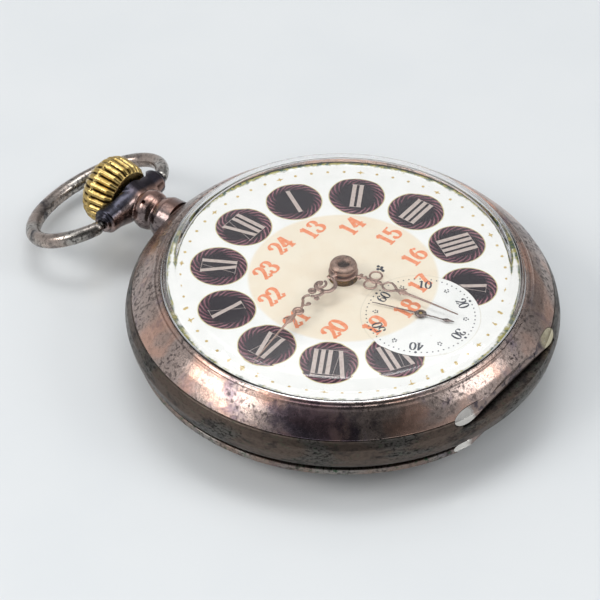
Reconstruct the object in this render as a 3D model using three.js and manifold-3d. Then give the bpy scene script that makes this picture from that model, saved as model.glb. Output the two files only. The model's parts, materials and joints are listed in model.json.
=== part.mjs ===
// Open-face pocket watch, lying on its back. Millimetres, +Z up through the dial, +Y towards 12 o'clock
// and the pendant, +X towards 3 o'clock. The origin is the middle of the back's flat rest face.
import * as THREE from 'three';
import { mergeVertices } from 'three/addons/utils/BufferGeometryUtils.js';
import Module from 'manifold-3d';

const wasm = await Module();
wasm.setup();

// ---- driving dimensions -------------------------------------------------------------------------
const caseRadius = 25.7;        // widest radius of the case middle
const pendantZ = 7.25;          // height of the pendant, stem and crown axis
const seamZ = 9.32;             // top of the case middle, where the bezel shuts on it
const dialTopZ = 11.65;         // top face of the enamel dial
const dialRadius = 21.0;
const lipRadius = 21.45;        // bezel opening that holds the crystal
const crystalTopZ = 15.15;
const restRadius = 13;          // flat disc in the middle of the back cover
const movementRadius = 21.45;   // a 19-ligne movement
const fitGap = 0.03;            // gap between pieces that touch
const secondsY = -11.1;         // centre of the seconds circle, below the dial's middle

const plateBottomZ = 8.5;       // train side of the main plate
const plateTopZ = 9.6;          // dial side of the main plate
const bridgeBottomZ = 5.45;
const bridgeTopZ = 6.35;
const wallBottomZ = 6.4;        // lower end of the main plate's outer wall
const wallInnerRadius = 19.8;
const screwCircle = 20.6;       // radius on which the bridge and case screws stand
const caseSegments = 36;

// The tubes run out through the case's round outline. The pins end inside them.
const bezelHinge = { y: -23.3, z: 9.3, radius: 0.85, half: 11.1, pin: 0.4, pinHalf: 7.3 };
const backHinge = { y: -23.0, z: 4.6, radius: 0.75, half: 10.6, pin: 0.35, pinHalf: 7.3 };
const bezelKnuckle = [-1.6, 4.5];
const backKnuckle = [-4.1, 0.8];
const dustKnuckle = [1.0, 4.5];
const knuckleGap = 0.1;

const bowPivotY = 32.1;
const bowTilt = 23.6 * Math.PI / 180;
const bowHalfWidth = 9.7;
const bowHalfLength = 7.25;
const bowCentre = 5.55;         // from the pivot to the middle of the bow's oval
const bowShift = -0.5;          // the worn bow sits a little to one side in its sockets
const bowWire = 0.72;
const saddleHalf = 5.5;
const saddleShift = -0.25;
const stemRadius = 0.5;

// Going train: tooth counts and modules of each wheel with the pinion that it drives.
const barrelMesh = { wheel: 64, pinion: 8, module: 0.25 };
const centreMesh = { wheel: 64, pinion: 8, module: 0.206 };
const thirdMesh = { wheel: 60, pinion: 8, module: 0.175 };
const fourthMesh = { wheel: 60, pinion: 6, module: 0.153 };
const minuteMesh = { wheel: 30, pinion: 10, module: 0.24 };
const hourMesh = { wheel: 32, pinion: 8, module: 0.24 };
const windingMesh = { wheel: 32, pinion: 22, module: 0.296 };
const escapeTeeth = 15;
const escapeRadius = 3.4;
const balanceRadius = 5.6;

// Hands: clock angle in degrees, heights, and blades as [from, to, half width at each end].
const minuteHand = {
  clock: 267, boss: 1.5, bore: 0.83, z: [13.25, 13.4], collet: { radius: 1.45, z: 12.72 },
  blades: [[1.2, 10.5, 0.8, 0.5], [10.5, 18.6, 0.45, 0.1]], bend: 10.5, tip: 18.6, droop: 1.05,
};
const hourHand = {
  clock: 171.5, boss: 1.75, bore: 1.28, z: [12.48, 12.62],
  blades: [[1.5, 8.2, 0.7, 0.6], [8.2, 14.95, 0.5, 0.1]], bend: 8.5, tip: 14.95, droop: 0.33,
};
const secondsHand = {
  clock: 343, boss: 0.62, bore: 0.27, z: [11.87, 11.97],
  blades: [[0.4, 5.9, 0.16, 0.07], [-0.4, -3.9, 0.16, 0.22]], bend: 6, tip: 7, droop: 0,
};

const centreDistance = (mesh) => mesh.module * (mesh.wheel + mesh.pinion) / 2;
const pitchRadius = (teeth, mesh) => mesh.module * teeth / 2;
const polar = (radius, angle, origin = [0, 0]) => [
  origin[0] + radius * Math.cos(angle), origin[1] + radius * Math.sin(angle)];
const degrees = (value) => value * Math.PI / 180;
const bearing = (from, to) => Math.atan2(to[1] - from[1], to[0] - from[0]);

// Places of the arbors, seen from the dial side.
const centreAt = [0, 0];
const barrelAt = polar(centreDistance(barrelMesh), degrees(127.7));
const fourthAt = [0, secondsY];
const thirdAt = meetingPoint(centreAt, centreDistance(centreMesh), fourthAt, centreDistance(thirdMesh), -1);
const escapeAt = polar(centreDistance(fourthMesh), 0, fourthAt);
const balanceAt = [11.9, -4.6];
const palletAt = polar(3.95, bearing(escapeAt, balanceAt), escapeAt);
const minuteWheelAt = polar(centreDistance(minuteMesh), degrees(150));
const crownWheelAt = [barrelAt[0] + 5.5, barrelAt[1] + 5.8];

// ---- helpers ------------------------------------------------------------------------------------

// The point at distance a from p and b from q, on the side of the line that `side` picks.
function meetingPoint(p, a, q, b, side) {
  const span = Math.hypot(q[0] - p[0], q[1] - p[1]);
  const along = (a * a - b * b + span * span) / (2 * span);
  const across = side * Math.sqrt(a * a - along * along);
  const ux = (q[0] - p[0]) / span;
  const uy = (q[1] - p[1]) / span;
  return [p[0] + along * ux - across * uy, p[1] + along * uy + across * ux];
}

// A closed body: shared vertices merged, empty triangles dropped, faces turned outwards.
function closed(source) {
  const bare = source.clone();
  bare.deleteAttribute('normal');
  bare.deleteAttribute('uv');
  const geometry = mergeVertices(bare, 1e-4);
  const place = geometry.attributes.position;
  const index = geometry.index.array;
  const kept = [];
  let volume = 0;
  const a = new THREE.Vector3();
  const b = new THREE.Vector3();
  const c = new THREE.Vector3();
  for (let i = 0; i < index.length; i += 3) {
    const [p, q, r] = [index[i], index[i + 1], index[i + 2]];
    if (p === q || q === r || p === r) continue;
    kept.push(p, q, r);
    volume += a.fromBufferAttribute(place, p).dot(
      b.fromBufferAttribute(place, q).cross(c.fromBufferAttribute(place, r)));
  }
  if (volume < 0) kept.reverse();
  geometry.setIndex(kept);
  return geometry;
}

function solid(source) {
  const geometry = closed(source);
  return new wasm.Manifold(new wasm.Mesh({
    numProp: 3,
    vertProperties: new Float32Array(geometry.attributes.position.array),
    triVerts: new Uint32Array(geometry.index.array),
  }));
}

function fromSolid(body) {
  const mesh = body.getMesh();
  const geometry = new THREE.BufferGeometry();
  geometry.setAttribute('position', new THREE.BufferAttribute(new Float32Array(mesh.vertProperties), 3));
  geometry.setIndex(Array.from(mesh.triVerts));
  return geometry;
}

const join = (first, ...rest) => rest.reduce((body, next) => body.add(solid(next)), solid(first));
const cut = (body, ...tools) => tools.reduce((left, tool) => left.subtract(solid(tool)), body);

// A profile of [radius, height] points turned about Z, Y or X.
function turned(profile, segments = caseSegments, at = [0, 0]) {
  const points = profile.map(([r, h]) => new THREE.Vector2(r, h));
  return closed(new THREE.LatheGeometry(points, segments)).rotateX(Math.PI / 2).translate(at[0], at[1], 0);
}
function turnedY(profile, segments = 16) {
  const points = profile.map(([r, h]) => new THREE.Vector2(r, h));
  return closed(new THREE.LatheGeometry(points, segments)).translate(0, 0, pendantZ);
}
function turnedX(profile, y, z, segments = 16) {
  const points = profile.map(([r, h]) => new THREE.Vector2(r, h));
  return closed(new THREE.LatheGeometry(points, segments)).rotateZ(-Math.PI / 2).translate(0, y, z);
}
const loop = (profile) => [...profile, profile[0]];

function disc(radius, z0, z1, at = [0, 0], segments = 16) {
  return turned([[0, z0], [radius, z0], [radius, z1], [0, z1]], segments, at);
}
function tube(outer, inner, z0, z1, at = [0, 0], segments = 16) {
  return turned(loop([[inner, z0], [outer, z0], [outer, z1], [inner, z1]]), segments, at);
}
function rodX(radius, x0, x1, y, z, segments = 16) {
  return turnedX([[0, x0], [radius, x0], [radius, x1], [0, x1]], y, z, segments);
}
function rodY(radius, y0, y1, segments = 16) {
  return turnedY([[0, y0], [radius, y0], [radius, y1], [0, y1]], segments);
}
function block(x, y, z) {
  return new THREE.BoxGeometry(x[1] - x[0], y[1] - y[0], z[1] - z[0]).translate(
    (x[0] + x[1]) / 2, (y[0] + y[1]) / 2, (z[0] + z[1]) / 2);
}
function outline(points) {
  return new THREE.Shape(points.map(([x, y]) => new THREE.Vector2(x, y)));
}
function slab(points, z0, z1, holes = []) {
  const shape = outline(points);
  for (const hole of holes) shape.holes.push(outline(hole));
  const body = new THREE.ExtrudeGeometry(shape, { depth: z1 - z0, bevelEnabled: false });
  return closed(body).translate(0, 0, z0);
}
function arc(radius, from, to, steps, at = [0, 0]) {
  const points = [];
  for (let i = 0; i <= steps; i += 1) points.push(polar(radius, degrees(from + (to - from) * i / steps), at));
  return points;
}
const circle = (radius, sides, at) => arc(radius, 0, 360 - 360 / sides, sides - 1, at);

// A bar with round ends of two sizes, from p to q.
function bar(p, q, startRadius, endRadius, z0, z1) {
  const turn = bearing(p, q) * 180 / Math.PI;
  const start = arc(startRadius, turn + 90, turn + 270, 4, p);
  const end = arc(endRadius, turn - 90, turn + 90, 4, q);
  return slab([...start, ...end], z0, z1);
}

// Straight-flanked teeth around a circle, with the middle of one tooth at the angle `phase`.
function toothed(teeth, module, phase, at) {
  const pitch = 2 * Math.PI / teeth;
  const root = module * (teeth / 2 - 1.3);
  const tip = module * (teeth / 2 + 0.95);
  const points = [];
  const flat = teeth > 20 ? [0] : [-0.1, 0.1];
  for (let i = 0; i < teeth; i += 1) {
    const middle = phase + i * pitch;
    for (const share of flat) points.push(polar(tip, middle + share * pitch, at));
    points.push(polar(root, middle + 0.5 * pitch, at));
  }
  return points;
}

// Windows between the spokes of a wheel.
function windows(inner, outer, count, at) {
  const holes = [];
  const half = 180 / count - 9;
  for (let i = 0; i < count; i += 1) {
    const middle = 360 * i / count;
    const near = arc(inner, middle + half * 0.7, middle - half * 0.7, 1, at);
    holes.push([...arc(outer, middle - half, middle + half, 3, at), ...near].reverse());
  }
  return holes;
}

// ---- case ---------------------------------------------------------------------------------------

function hingePart(hinge, span, webY, webZ) {
  const [x0, x1] = [span[0] + knuckleGap / 2, span[1] - knuckleGap / 2];
  return [rodX(hinge.radius, x0, x1, hinge.y, hinge.z), block([x0, x1], webY, webZ)];
}
const pinRod = (hinge, gap) => rodX(hinge.pin + gap, -hinge.pinHalf - gap, hinge.pinHalf + gap, hinge.y,
  hinge.z, 12);
const pinBore = (hinge) => pinRod(hinge, 0.05);
const pin = (hinge) => pinRod(hinge, 0);

// The ends of both hinge tubes are filed flush with the case's outline.
const flush = disc(caseRadius, 0, 20, [0, 0], caseSegments);

const caseOuter = [[25.0, 5.45], [25.45, 6.1], [caseRadius, pendantZ], [25.45, 8.4], [25.05, 9.05],
  [24.86, seamZ]];

function caseMiddle() {
  const profile = loop([...caseOuter, [23.4, seamZ], [23.4, 10.5], [22.0, 10.5], [21.6, 9.9], [21.6, 6.4],
    [22.4, 6.4], [22.4, 4.6], [23.85, 4.6], [23.85, 5.45]]);
  let body = solid(turned(profile));
  body = cut(body, block([-11.4, 11.4], [-30, -22.2], [8.3, 12]));
  body = cut(body, block([-10.9, 10.9], [-30, -22.0], [3, 6.1]));
  const bezelWeb = [-24.0, -22.6];
  const backWeb = [-23.6, -22.4];
  const knuckles = [
    ...hingePart(bezelHinge, [-bezelHinge.half, bezelKnuckle[0]], bezelWeb, [8.0, 9.2]),
    ...hingePart(bezelHinge, [bezelKnuckle[1], bezelHinge.half], bezelWeb, [8.0, 9.2]),
    ...hingePart(backHinge, [-backHinge.half, backKnuckle[0]], backWeb, [4.7, 6.3]),
    ...hingePart(backHinge, [dustKnuckle[1], backHinge.half], backWeb, [4.7, 6.3]),
  ];
  for (const piece of knuckles) body = body.add(solid(piece));
  body = body.intersect(solid(flush));
  return fromSolid(cut(body, pinBore(bezelHinge), pinBore(backHinge), rodY(0.95, 15, 30, 16)));
}

function bezel() {
  const footZ = seamZ + 0.06;
  const profile = loop([[20.95, 11.72], [20.95, 11.9], [lipRadius, 11.9], [lipRadius, 12.2], [21.7, 12.38],
    [22.15, 12.02], [22.6, 11.77], [23.55, 10.95], [24.35, 10.05], [24.94, footZ], [23.5, footZ],
    [23.5, 10.6], [21.9, 10.6], [21.7, 11.72]]);
  let body = cut(solid(turned(profile)),
    block([-11.4, 11.4], [-30, -22.3], [9, 10.25]),
    block([-11.4, 11.4], [-30, -23.95], [9, 14]));
  for (const piece of hingePart(bezelHinge, bezelKnuckle, [-23.7, -22.6], [9.5, 10.5])) {
    body = body.add(solid(piece));
  }
  return fromSolid(cut(body, pinBore(bezelHinge)));
}

function crystal() {
  const seat = dialTopZ + 0.29;
  const profile = [[0, crystalTopZ], [8, 15.05], [15, 14.75], [19.7, 14.25], [20.6, 13.8], [21.15, 12.9],
    [21.4, 12.3], [21.4, seat], [20.7, seat], [20.4, 12.85], [19.5, 13.55], [15, 14.05], [0, 14.45]];
  return turned(profile, 36);
}

function backCover() {
  const profile = [[0, 0], [restRadius, 0], [17, 0.55], [20.5, 1.6], [22.8, 2.7], [24.4, 3.75], [24.75, 4.3],
    [24.75, 5.3], [24.0, 5.3], [24.0, 4.2], [22.4, 3.15], [20.2, 2.1], [16.8, 1.1], [restRadius, 0.55],
    [0, 0.55]];
  let body = cut(solid(turned(profile)), block([-10.9, 10.9], [-30, -22.0], [3.0, 6]));
  for (const piece of hingePart(backHinge, backKnuckle, [-22.8, -22.05], [2.75, 4.4])) {
    body = body.add(solid(piece));
  }
  return fromSolid(cut(body, pinBore(backHinge)));
}

function dustCover() {
  const profile = [[0, 3.3], [19, 3.4], [21.3, 3.75], [22.3, 4.2], [23.5, 4.2], [23.5, 4.5], [22.1, 4.5],
    [21.1, 4.08], [18.9, 3.75], [0, 3.65]];
  let body = cut(solid(turned(profile, 36)), block([-10.9, 10.9], [-30, -22.0], [3.0, 6]));
  for (const piece of hingePart(backHinge, dustKnuckle, [-23.0, -21.6], [4.2, 4.5])) {
    body = body.add(solid(piece));
  }
  return fromSolid(cut(body, pinBore(backHinge)));
}

function pendant() {
  const neck = turnedY([[0, 23.5], [2.75, 23.5], [2.75, 26.5], [2.45, 27.3], [1.9, 27.8],
    [2.45, 29.1], [2.45, 29.7], [1.8, 30.6], [2.15, 31.2], [2.9, 33.0], [0, 33.0]]);
  const half = saddleHalf;
  const saddle = turnedX([[0, -half], [1.25, -half], [1.2, -half + 0.9], [1.5, -3.3], [2.1, -1.8], [2.3, 0],
    [2.1, 1.8], [1.5, 3.3], [1.2, half - 0.9], [1.25, half], [0, half]], bowPivotY, pendantZ)
    .translate(saddleShift, 0, 0);
  let body = join(neck, saddle);
  const clearance = caseOuter.map(([r, z]) => [r + fitGap, z]);
  const caseBody = turned([[0, 4], [25.0, 4], ...clearance, [25.0, seamZ + fitGap], [25.1, 12], [0, 12]]);
  const dish = turnedY([[0, 32.35], [3.6, 32.35], [4.6, 33.6], [4.6, 36], [0, 36]]);
  const socket = rodX(0.65, -30, 30, bowPivotY, pendantZ, 12);
  const web = rodX(1, -3.0, 2.6, bowPivotY, pendantZ, 12);
  body = cut(body, caseBody, dish, rodY(0.8, 20, 34, 16));
  const bores = solid(socket).subtract(solid(web));
  const oilHole = disc(0.3, 1.4, 4, [0, 0], 8).rotateY(degrees(-20)).translate(0, 29.4, pendantZ);
  return fromSolid(cut(body.subtract(bores), oilHole));
}

function bow() {
  const start = Math.acos(bowCentre / bowHalfLength);
  class Oval extends THREE.Curve {
    getPoint(t, target = new THREE.Vector3()) {
      const angle = start + (2 * Math.PI - 2 * start) * t;
      const along = bowCentre - bowHalfLength * Math.cos(angle);
      return target.set(bowShift + bowHalfWidth * Math.sin(angle),
        bowPivotY + along * Math.cos(bowTilt), pendantZ - along * Math.sin(bowTilt));
    }
  }
  const path = new Oval();
  const ring = new THREE.ExtrudeGeometry(outline(circle(bowWire, 8, [0, 0])),
    { steps: 26, extrudePath: path, bevelEnabled: false });
  const pieces = [];
  for (const [end, side] of [[0, 1], [1, -1]]) {
    const tip = path.getPoint(end);
    pieces.push(new THREE.SphereGeometry(bowWire, 8, 5).translate(tip.x, tip.y, tip.z));
    const inner = side > 0 ? 3.6 : -4.0;
    const span = side > 0 ? [inner, tip.x] : [tip.x, inner];
    pieces.push(rodX(0.5, span[0], span[1], bowPivotY, pendantZ, 8));
  }
  return fromSolid(join(ring, ...pieces));
}

function crown() {
  const ribs = 26;
  const profile = [[stemRadius + fitGap, 32.7], [3.5, 32.7], [4.1, 33.8], [4.25, 35.4], [3.9, 36.6],
    [2.9, 37.5], [0, 37.7], [0, 36.3], [stemRadius + fitGap, 36.3]];
  const geometry = new THREE.LatheGeometry(
    loop(profile).map(([r, h]) => new THREE.Vector2(r, h)), ribs * 2);
  const place = geometry.attributes.position;
  for (let i = 0; i < place.count; i += 1) {
    const radius = Math.hypot(place.getX(i), place.getZ(i));
    const groove = Math.floor(i / (profile.length + 1)) % 2 === 1 && radius > 3.2 ? 0.26 : 0;
    place.setX(i, place.getX(i) * (1 - groove / Math.max(radius, 1)));
    place.setZ(i, place.getZ(i) * (1 - groove / Math.max(radius, 1)));
  }
  return closed(geometry).translate(0, 0, pendantZ);
}

function windingStem() {
  const square = 0.42;
  return fromSolid(join(rodY(stemRadius, 16.2, 36.2, 12), rodY(square, 13.7, 16.4, 4)));
}

// ---- dial and hands -----------------------------------------------------------------------------

function dial() {
  const rim = circle(dialRadius, 48, [0, 0]);
  const holes = [circle(1.75, 20, centreAt).reverse(), circle(0.5, 12, fourthAt).reverse()];
  const face = slab(rim, plateTopZ + 1.05, dialTopZ, holes);
  const feet = dialFeet().map((at) => disc(0.45, plateBottomZ + 0.3, plateTopZ + 1.2, at, 8));
  return fromSolid(join(face, ...feet));
}
function dialFeet() {
  return [20, 160, 230].map((angle) => polar(17.6, degrees(angle)));
}

// A hand has a ring boss, a tapering blade and a needle that droops towards the dial past `bend`.
function hand(at, shape) {
  const [z0, z1] = shape.z;
  const angle = degrees(90 - shape.clock);
  let body = solid(tube(shape.boss, shape.bore, z0, z1, at, 20));
  if (shape.collet) {
    body = body.add(solid(tube(shape.collet.radius, shape.bore, shape.collet.z, z0 + 0.05, at, 20)));
  }
  for (const [from, to, startRadius, endRadius] of shape.blades) {
    body = body.add(solid(bar(polar(from, angle, at), polar(to, angle, at), startRadius, endRadius, z0, z1)));
  }
  const geometry = fromSolid(cut(body, disc(shape.bore, z0 - 1, z1 + 1, at, 20)));
  const place = geometry.attributes.position;
  for (let i = 0; i < place.count; i += 1) {
    const reach = Math.hypot(place.getX(i) - at[0], place.getY(i) - at[1]);
    const share = Math.max(0, (reach - shape.bend) / (shape.tip - shape.bend));
    place.setZ(i, place.getZ(i) - shape.droop * share);
  }
  return geometry;
}

// ---- movement -----------------------------------------------------------------------------------

const screwPlaces = {
  barrel_bridge_screw_1: 28,
  barrel_bridge_screw_2: 152,
  train_bridge_screw_1: 195,
  train_bridge_screw_2: 285,
  balance_cock_screw: 336,
};
const casePlaces = { case_screw_1: 55, case_screw_2: 240 };
const palletScrewAt = [12.9, -13.2];

function mainPlate() {
  const floor = slab(circle(movementRadius, 36, [0, 0]), plateBottomZ, plateTopZ, [circle(0.95, 12, centreAt)
    .reverse()]);
  const wall = tube(movementRadius, wallInnerRadius, wallBottomZ, plateBottomZ + 0.2, [0, 0], 36);
  const seat = tube(movementRadius - 0.3, wallInnerRadius, plateTopZ - 0.2, plateTopZ + 1.02, [0, 0], 36);
  const keylessBlock = block([-3.2, 3.2], [10.7, 20.5], [wallBottomZ, plateBottomZ + 0.2]);
  const palletFoot = disc(1.2, 7.8, plateBottomZ + 0.2, palletScrewAt, 12);
  let body = join(floor, wall, seat, keylessBlock, palletFoot);
  const pockets = [
    block([-2.2, 2.2], [13.2, 18.1], [5, pendantZ + 2.0]),
    disc(8.5, 6, plateBottomZ - 0.02, barrelAt, 30),
    rodY(stemRadius + 0.1, 9, 30, 12),
  ];
  for (const at of [thirdAt, escapeAt, palletAt, balanceAt, barrelAt]) {
    pockets.push(disc(0.45, 7, 12, at, 8));
  }
  pockets.push(disc(0.45, 7, 12, fourthAt, 8));
  for (const at of dialFeet()) pockets.push(disc(0.5, 8, 12, at, 8));
  for (const angle of [...Object.values(screwPlaces), ...Object.values(casePlaces)]) {
    pockets.push(disc(0.47, 6, 7.7, polar(screwCircle, degrees(angle)), 8));
  }
  pockets.push(disc(0.4, 7, 8.6, palletScrewAt, 8));
  return fromSolid(cut(body, ...pockets));
}

function bridge(points, screws, jewelHoles, extra = []) {
  const body = solid(slab(points, bridgeBottomZ, bridgeTopZ));
  const tools = [];
  for (const name of screws) tools.push(disc(0.45, 5, 7, polar(screwCircle, degrees(screwPlaces[name])), 8));
  for (const at of jewelHoles) tools.push(disc(0.83, 5, 7, at, 8));
  return fromSolid(cut(body, ...tools, ...extra));
}
function barrelBridge() {
  const points = [...arc(21.1, 9, 171, 26), [-6.5, 2.9], [-2.2, 3.6], [2.2, 3.6], [8, 3.4]];
  const cutters = [
    disc(1.05, 5, 7, barrelAt, 14),
    disc(0.55, 5, 7, crownWheelAt, 12),
    block([-2.1, 2.1], [14.3, 18.1], [5, 7]),
    disc(1.4, 5, 7, polar(screwCircle, degrees(casePlaces.case_screw_1)), 12),
  ];
  return bridge(points, ['barrel_bridge_screw_1', 'barrel_bridge_screw_2'], [], cutters);
}
function trainBridge() {
  const points = [...arc(21.1, 176, 291, 20), [7.4, -14.5], [7.2, -9.4], [4.2, -6.6], [2.6, 1.9], [-2.4, 3.2],
    [-6.8, 2.4]];
  const screwNotch = disc(1.4, 5, 7, polar(screwCircle, degrees(casePlaces.case_screw_2)), 12);
  return bridge(points, ['train_bridge_screw_1', 'train_bridge_screw_2'],
    [centreAt, thirdAt, fourthAt, escapeAt], [screwNotch]);
}
function balanceCock() {
  const points = [...arc(21.1, 323, 349, 6), ...arc(2.3, 20, 250, 9, balanceAt)];
  return bridge(points, ['balance_cock_screw'], [balanceAt]);
}
function palletCock() {
  const plate = bar(palletAt, palletScrewAt, 1.0, 1.3, 7.3, 7.75);
  return fromSolid(cut(solid(plate), disc(0.3, 7, 8, palletAt, 8), disc(0.4, 7, 8, palletScrewAt, 8)));
}

function screw(at, z0, headRadius, headHeight, shankTop, shankRadius = 0.4) {
  const neckZ = z0 + headHeight;
  const shank = turned([[0, z0], [headRadius, z0], [headRadius, neckZ], [shankRadius, neckZ],
    [shankRadius, shankTop], [0, shankTop]], 8, at);
  const slot = block([at[0] - 2, at[0] + 2], [at[1] - 0.12, at[1] + 0.12], [z0 - 1, z0 + 0.15]);
  return fromSolid(cut(solid(shank), slot));
}
const jewel = (at) => turned(loop([[0.36, 5.5], [0.8, 5.5], [0.8, 6.3], [0.36, 6.3]]), 8, at);

// An arbor with its wheel and pinion. Each toothed part is [teeth, module, z0, z1, direction to its mate,
// whether it shows a tooth or a gap there].
function arborBody(at, shaft, gears, spokes) {
  let body = solid(turned([[0, shaft[0][1]], ...shaft, [0, shaft[shaft.length - 1][1]]], 8, at));
  for (const [teeth, module, z0, z1, towards, tooth] of gears) {
    const phase = towards + (tooth ? 0 : Math.PI / teeth);
    const radius = module * teeth / 2;
    const holes = teeth > 20 && spokes ? windows(radius * 0.24, radius * 0.82, spokes, at) : [];
    body = body.add(solid(slab(toothed(teeth, module, phase, at), z0, z1, holes)));
  }
  return fromSolid(body);
}

function barrel() {
  const [r, m] = [pitchRadius(barrelMesh.wheel, barrelMesh), barrelMesh.module];
  const towards = bearing(barrelAt, centreAt);
  const rim = slab(toothed(barrelMesh.wheel, m, towards, barrelAt), 7.95, 8.3,
    [circle(0.75, 14, barrelAt).reverse()]);
  const wall = tube(r - 0.4, r - 0.75, 7.0, 8.1, barrelAt, 28);
  return fromSolid(join(rim, wall));
}
function spiral(at, inner, outer, turns, thickness, z0, z1, startAngle) {
  const steps = turns * 12;
  const out = [];
  const back = [];
  for (let i = 0; i <= steps; i += 1) {
    const share = i / steps;
    const angle = startAngle + share * turns * 2 * Math.PI;
    const radius = inner + (outer - inner) * share;
    out.push(polar(radius + thickness / 2, angle, at));
    back.push(polar(radius - thickness / 2, angle, at));
  }
  return slab([...out, ...back.reverse()], z0, z1);
}
function barrelArbor() {
  return turned([[0, 5.45], [0.95, 5.45], [0.95, 7.03], [1.9, 7.03], [1.9, 7.88], [0.65, 7.88], [0.65, 8.35],
    [0.35, 8.35], [0.35, 9.2], [0, 9.2]], 12, barrelAt);
}

function escapeWheel() {
  const points = [];
  const pitch = 2 * Math.PI / escapeTeeth;
  for (let i = 0; i < escapeTeeth; i += 1) {
    const a = i * pitch;
    for (const [reach, share] of [[0.78, -0.3], [1, -0.05], [0.97, 0.1], [0.78, 0.12]]) {
      points.push(polar(escapeRadius * reach, a + share * pitch, escapeAt));
    }
  }
  const rim = slab(points, 8.0, 8.2, windows(0.9, escapeRadius * 0.66, 4, escapeAt));
  const pinion = slab(toothed(fourthMesh.pinion, fourthMesh.module,
    bearing(escapeAt, fourthAt) + Math.PI / fourthMesh.pinion, escapeAt), 6.8, 7.25);
  const shaft = turned([[0, 5.55], [0.28, 5.55], [0.28, 9.2], [0, 9.2]], 10, escapeAt);
  return fromSolid(join(rim, pinion, shaft));
}

function palletFork() {
  const line = bearing(palletAt, balanceAt);
  const back = line + Math.PI;
  const forkEnd = polar(4.25, line, palletAt);
  const stoneReach = 2.55;
  const pieces = [
    turned([[0, 7.4], [0.25, 7.4], [0.25, 9.2], [0, 9.2]], 8, palletAt),
    bar(palletAt, forkEnd, 0.5, 0.28, 8.0, 8.2),
  ];
  for (const side of [-1, 1]) {
    const horn = polar(0.32, line + side * Math.PI / 2, forkEnd);
    pieces.push(bar(horn, polar(0.75, line + side * 0.25, horn), 0.2, 0.12, 8.0, 8.2));
    const knee = polar(stoneReach, back + side * degrees(66), palletAt);
    pieces.push(bar(palletAt, knee, 0.45, 0.22, 8.0, 8.2));
    const stoneFoot = polar(0.3, bearing(knee, escapeAt), knee);
    pieces.push(bar(knee, stoneFoot, 0.14, 0.12, 8.0, 8.2));
  }
  return fromSolid(join(...pieces));
}

function balanceWheel() {
  const rim = tube(balanceRadius, balanceRadius - 0.55, 6.72, 7.12, balanceAt, 24);
  const arm = bar(polar(5.3, 0.4, balanceAt), polar(5.3, 0.4 + Math.PI, balanceAt), 0.4, 0.4, 6.8, 7.05);
  const staff = turned([[0, 5.6], [0.25, 5.6], [0.25, 6.35], [0.6, 6.6], [0.6, 7.2], [0.4, 7.3], [0.4, 7.85],
    [1.2, 7.85], [1.2, 7.97], [0.25, 7.97], [0.25, 9.2], [0, 9.2]], 10, balanceAt);
  const impulsePin = disc(0.1, 7.9, 8.2, polar(1.0, bearing(balanceAt, palletAt), balanceAt), 8);
  return fromSolid(join(rim, arm, staff, impulsePin));
}

function regulator() {
  const ring = tube(1.45, 0.92, 5.1, 5.42, balanceAt, 16);
  const turn = degrees(150);
  const pointer = bar(polar(1.3, turn, balanceAt), polar(5.2, turn, balanceAt), 0.3, 0.12, 5.1, 5.42);
  return fromSolid(cut(join(ring, pointer), disc(0.92, 5, 6, balanceAt, 16)));
}

function windingWheel(teeth, at, towards, tooth, bore) {
  const phase = towards + (tooth ? 0 : Math.PI / teeth);
  return slab(toothed(teeth, windingMesh.module, phase, at), 4.8, 5.4, [circle(bore, 12, at).reverse()]);
}

function pinionY(y0, y1, radius, bore, teeth) {
  const points = [];
  for (let i = 0; i < teeth; i += 1) {
    const a = 2 * Math.PI * i / teeth;
    points.push(polar(radius - 0.3, a - 0.18), polar(radius, a - 0.07), polar(radius, a + 0.07),
      polar(radius - 0.3, a + 0.18));
  }
  return slab(points, 0, y1 - y0, [circle(bore, 12, [0, 0]).reverse()]).rotateX(-Math.PI / 2)
    .translate(0, y0, pendantZ);
}

// ---- assembly -----------------------------------------------------------------------------------

const looks = {
  silver: [0x8f827c, 0.38, 0.95],
  gilt: [0xc9a24e, 0.32, 1.0],
  nickel: [0xb9b7b0, 0.3, 1.0],
  steel: [0x9a9ca0, 0.25, 1.0],
  blued: [0x2a3a66, 0.25, 1.0],
  brass: [0xc8a75c, 0.3, 1.0],
  enamel: [0xf2efe6, 0.12, 0.0],
  glass: [0xe8f0f0, 0.03, 0.0],
  ruby: [0xb02348, 0.08, 0.0],
  rose: [0x8a6558, 0.35, 1.0],
};
const materials = Object.fromEntries(Object.entries(looks).map(([name, [color, roughness, metalness]]) => [
  name, new THREE.MeshStandardMaterial({ name, color, roughness, metalness })]));
materials.glass.transparent = true;
materials.glass.opacity = 0.3;

const watch = new THREE.Group();
function add(name, geometry, look) {
  const mesh = new THREE.Mesh(closed(geometry), materials[look]);
  mesh.name = name;
  watch.add(mesh);
}

add('case_middle', caseMiddle(), 'silver');
add('bezel', bezel(), 'silver');
add('crystal', crystal(), 'glass');
add('back_cover', backCover(), 'silver');
add('dust_cover', dustCover(), 'silver');
add('bezel_hinge_pin', pin(bezelHinge), 'steel');
add('back_hinge_pin', pin(backHinge), 'steel');
add('pendant', pendant(), 'silver');
add('bow', bow(), 'silver');
add('crown', crown(), 'gilt');
add('winding_stem', windingStem(), 'steel');
add('dial', dial(), 'enamel');

add('minute_hand', hand(centreAt, minuteHand), 'rose');
add('hour_hand', hand(centreAt, hourHand), 'rose');
add('seconds_hand', hand(fourthAt, secondsHand), 'blued');

add('main_plate', mainPlate(), 'nickel');
add('barrel_bridge', barrelBridge(), 'nickel');
add('train_bridge', trainBridge(), 'nickel');
add('balance_cock', balanceCock(), 'nickel');
add('pallet_cock', palletCock(), 'nickel');

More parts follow.
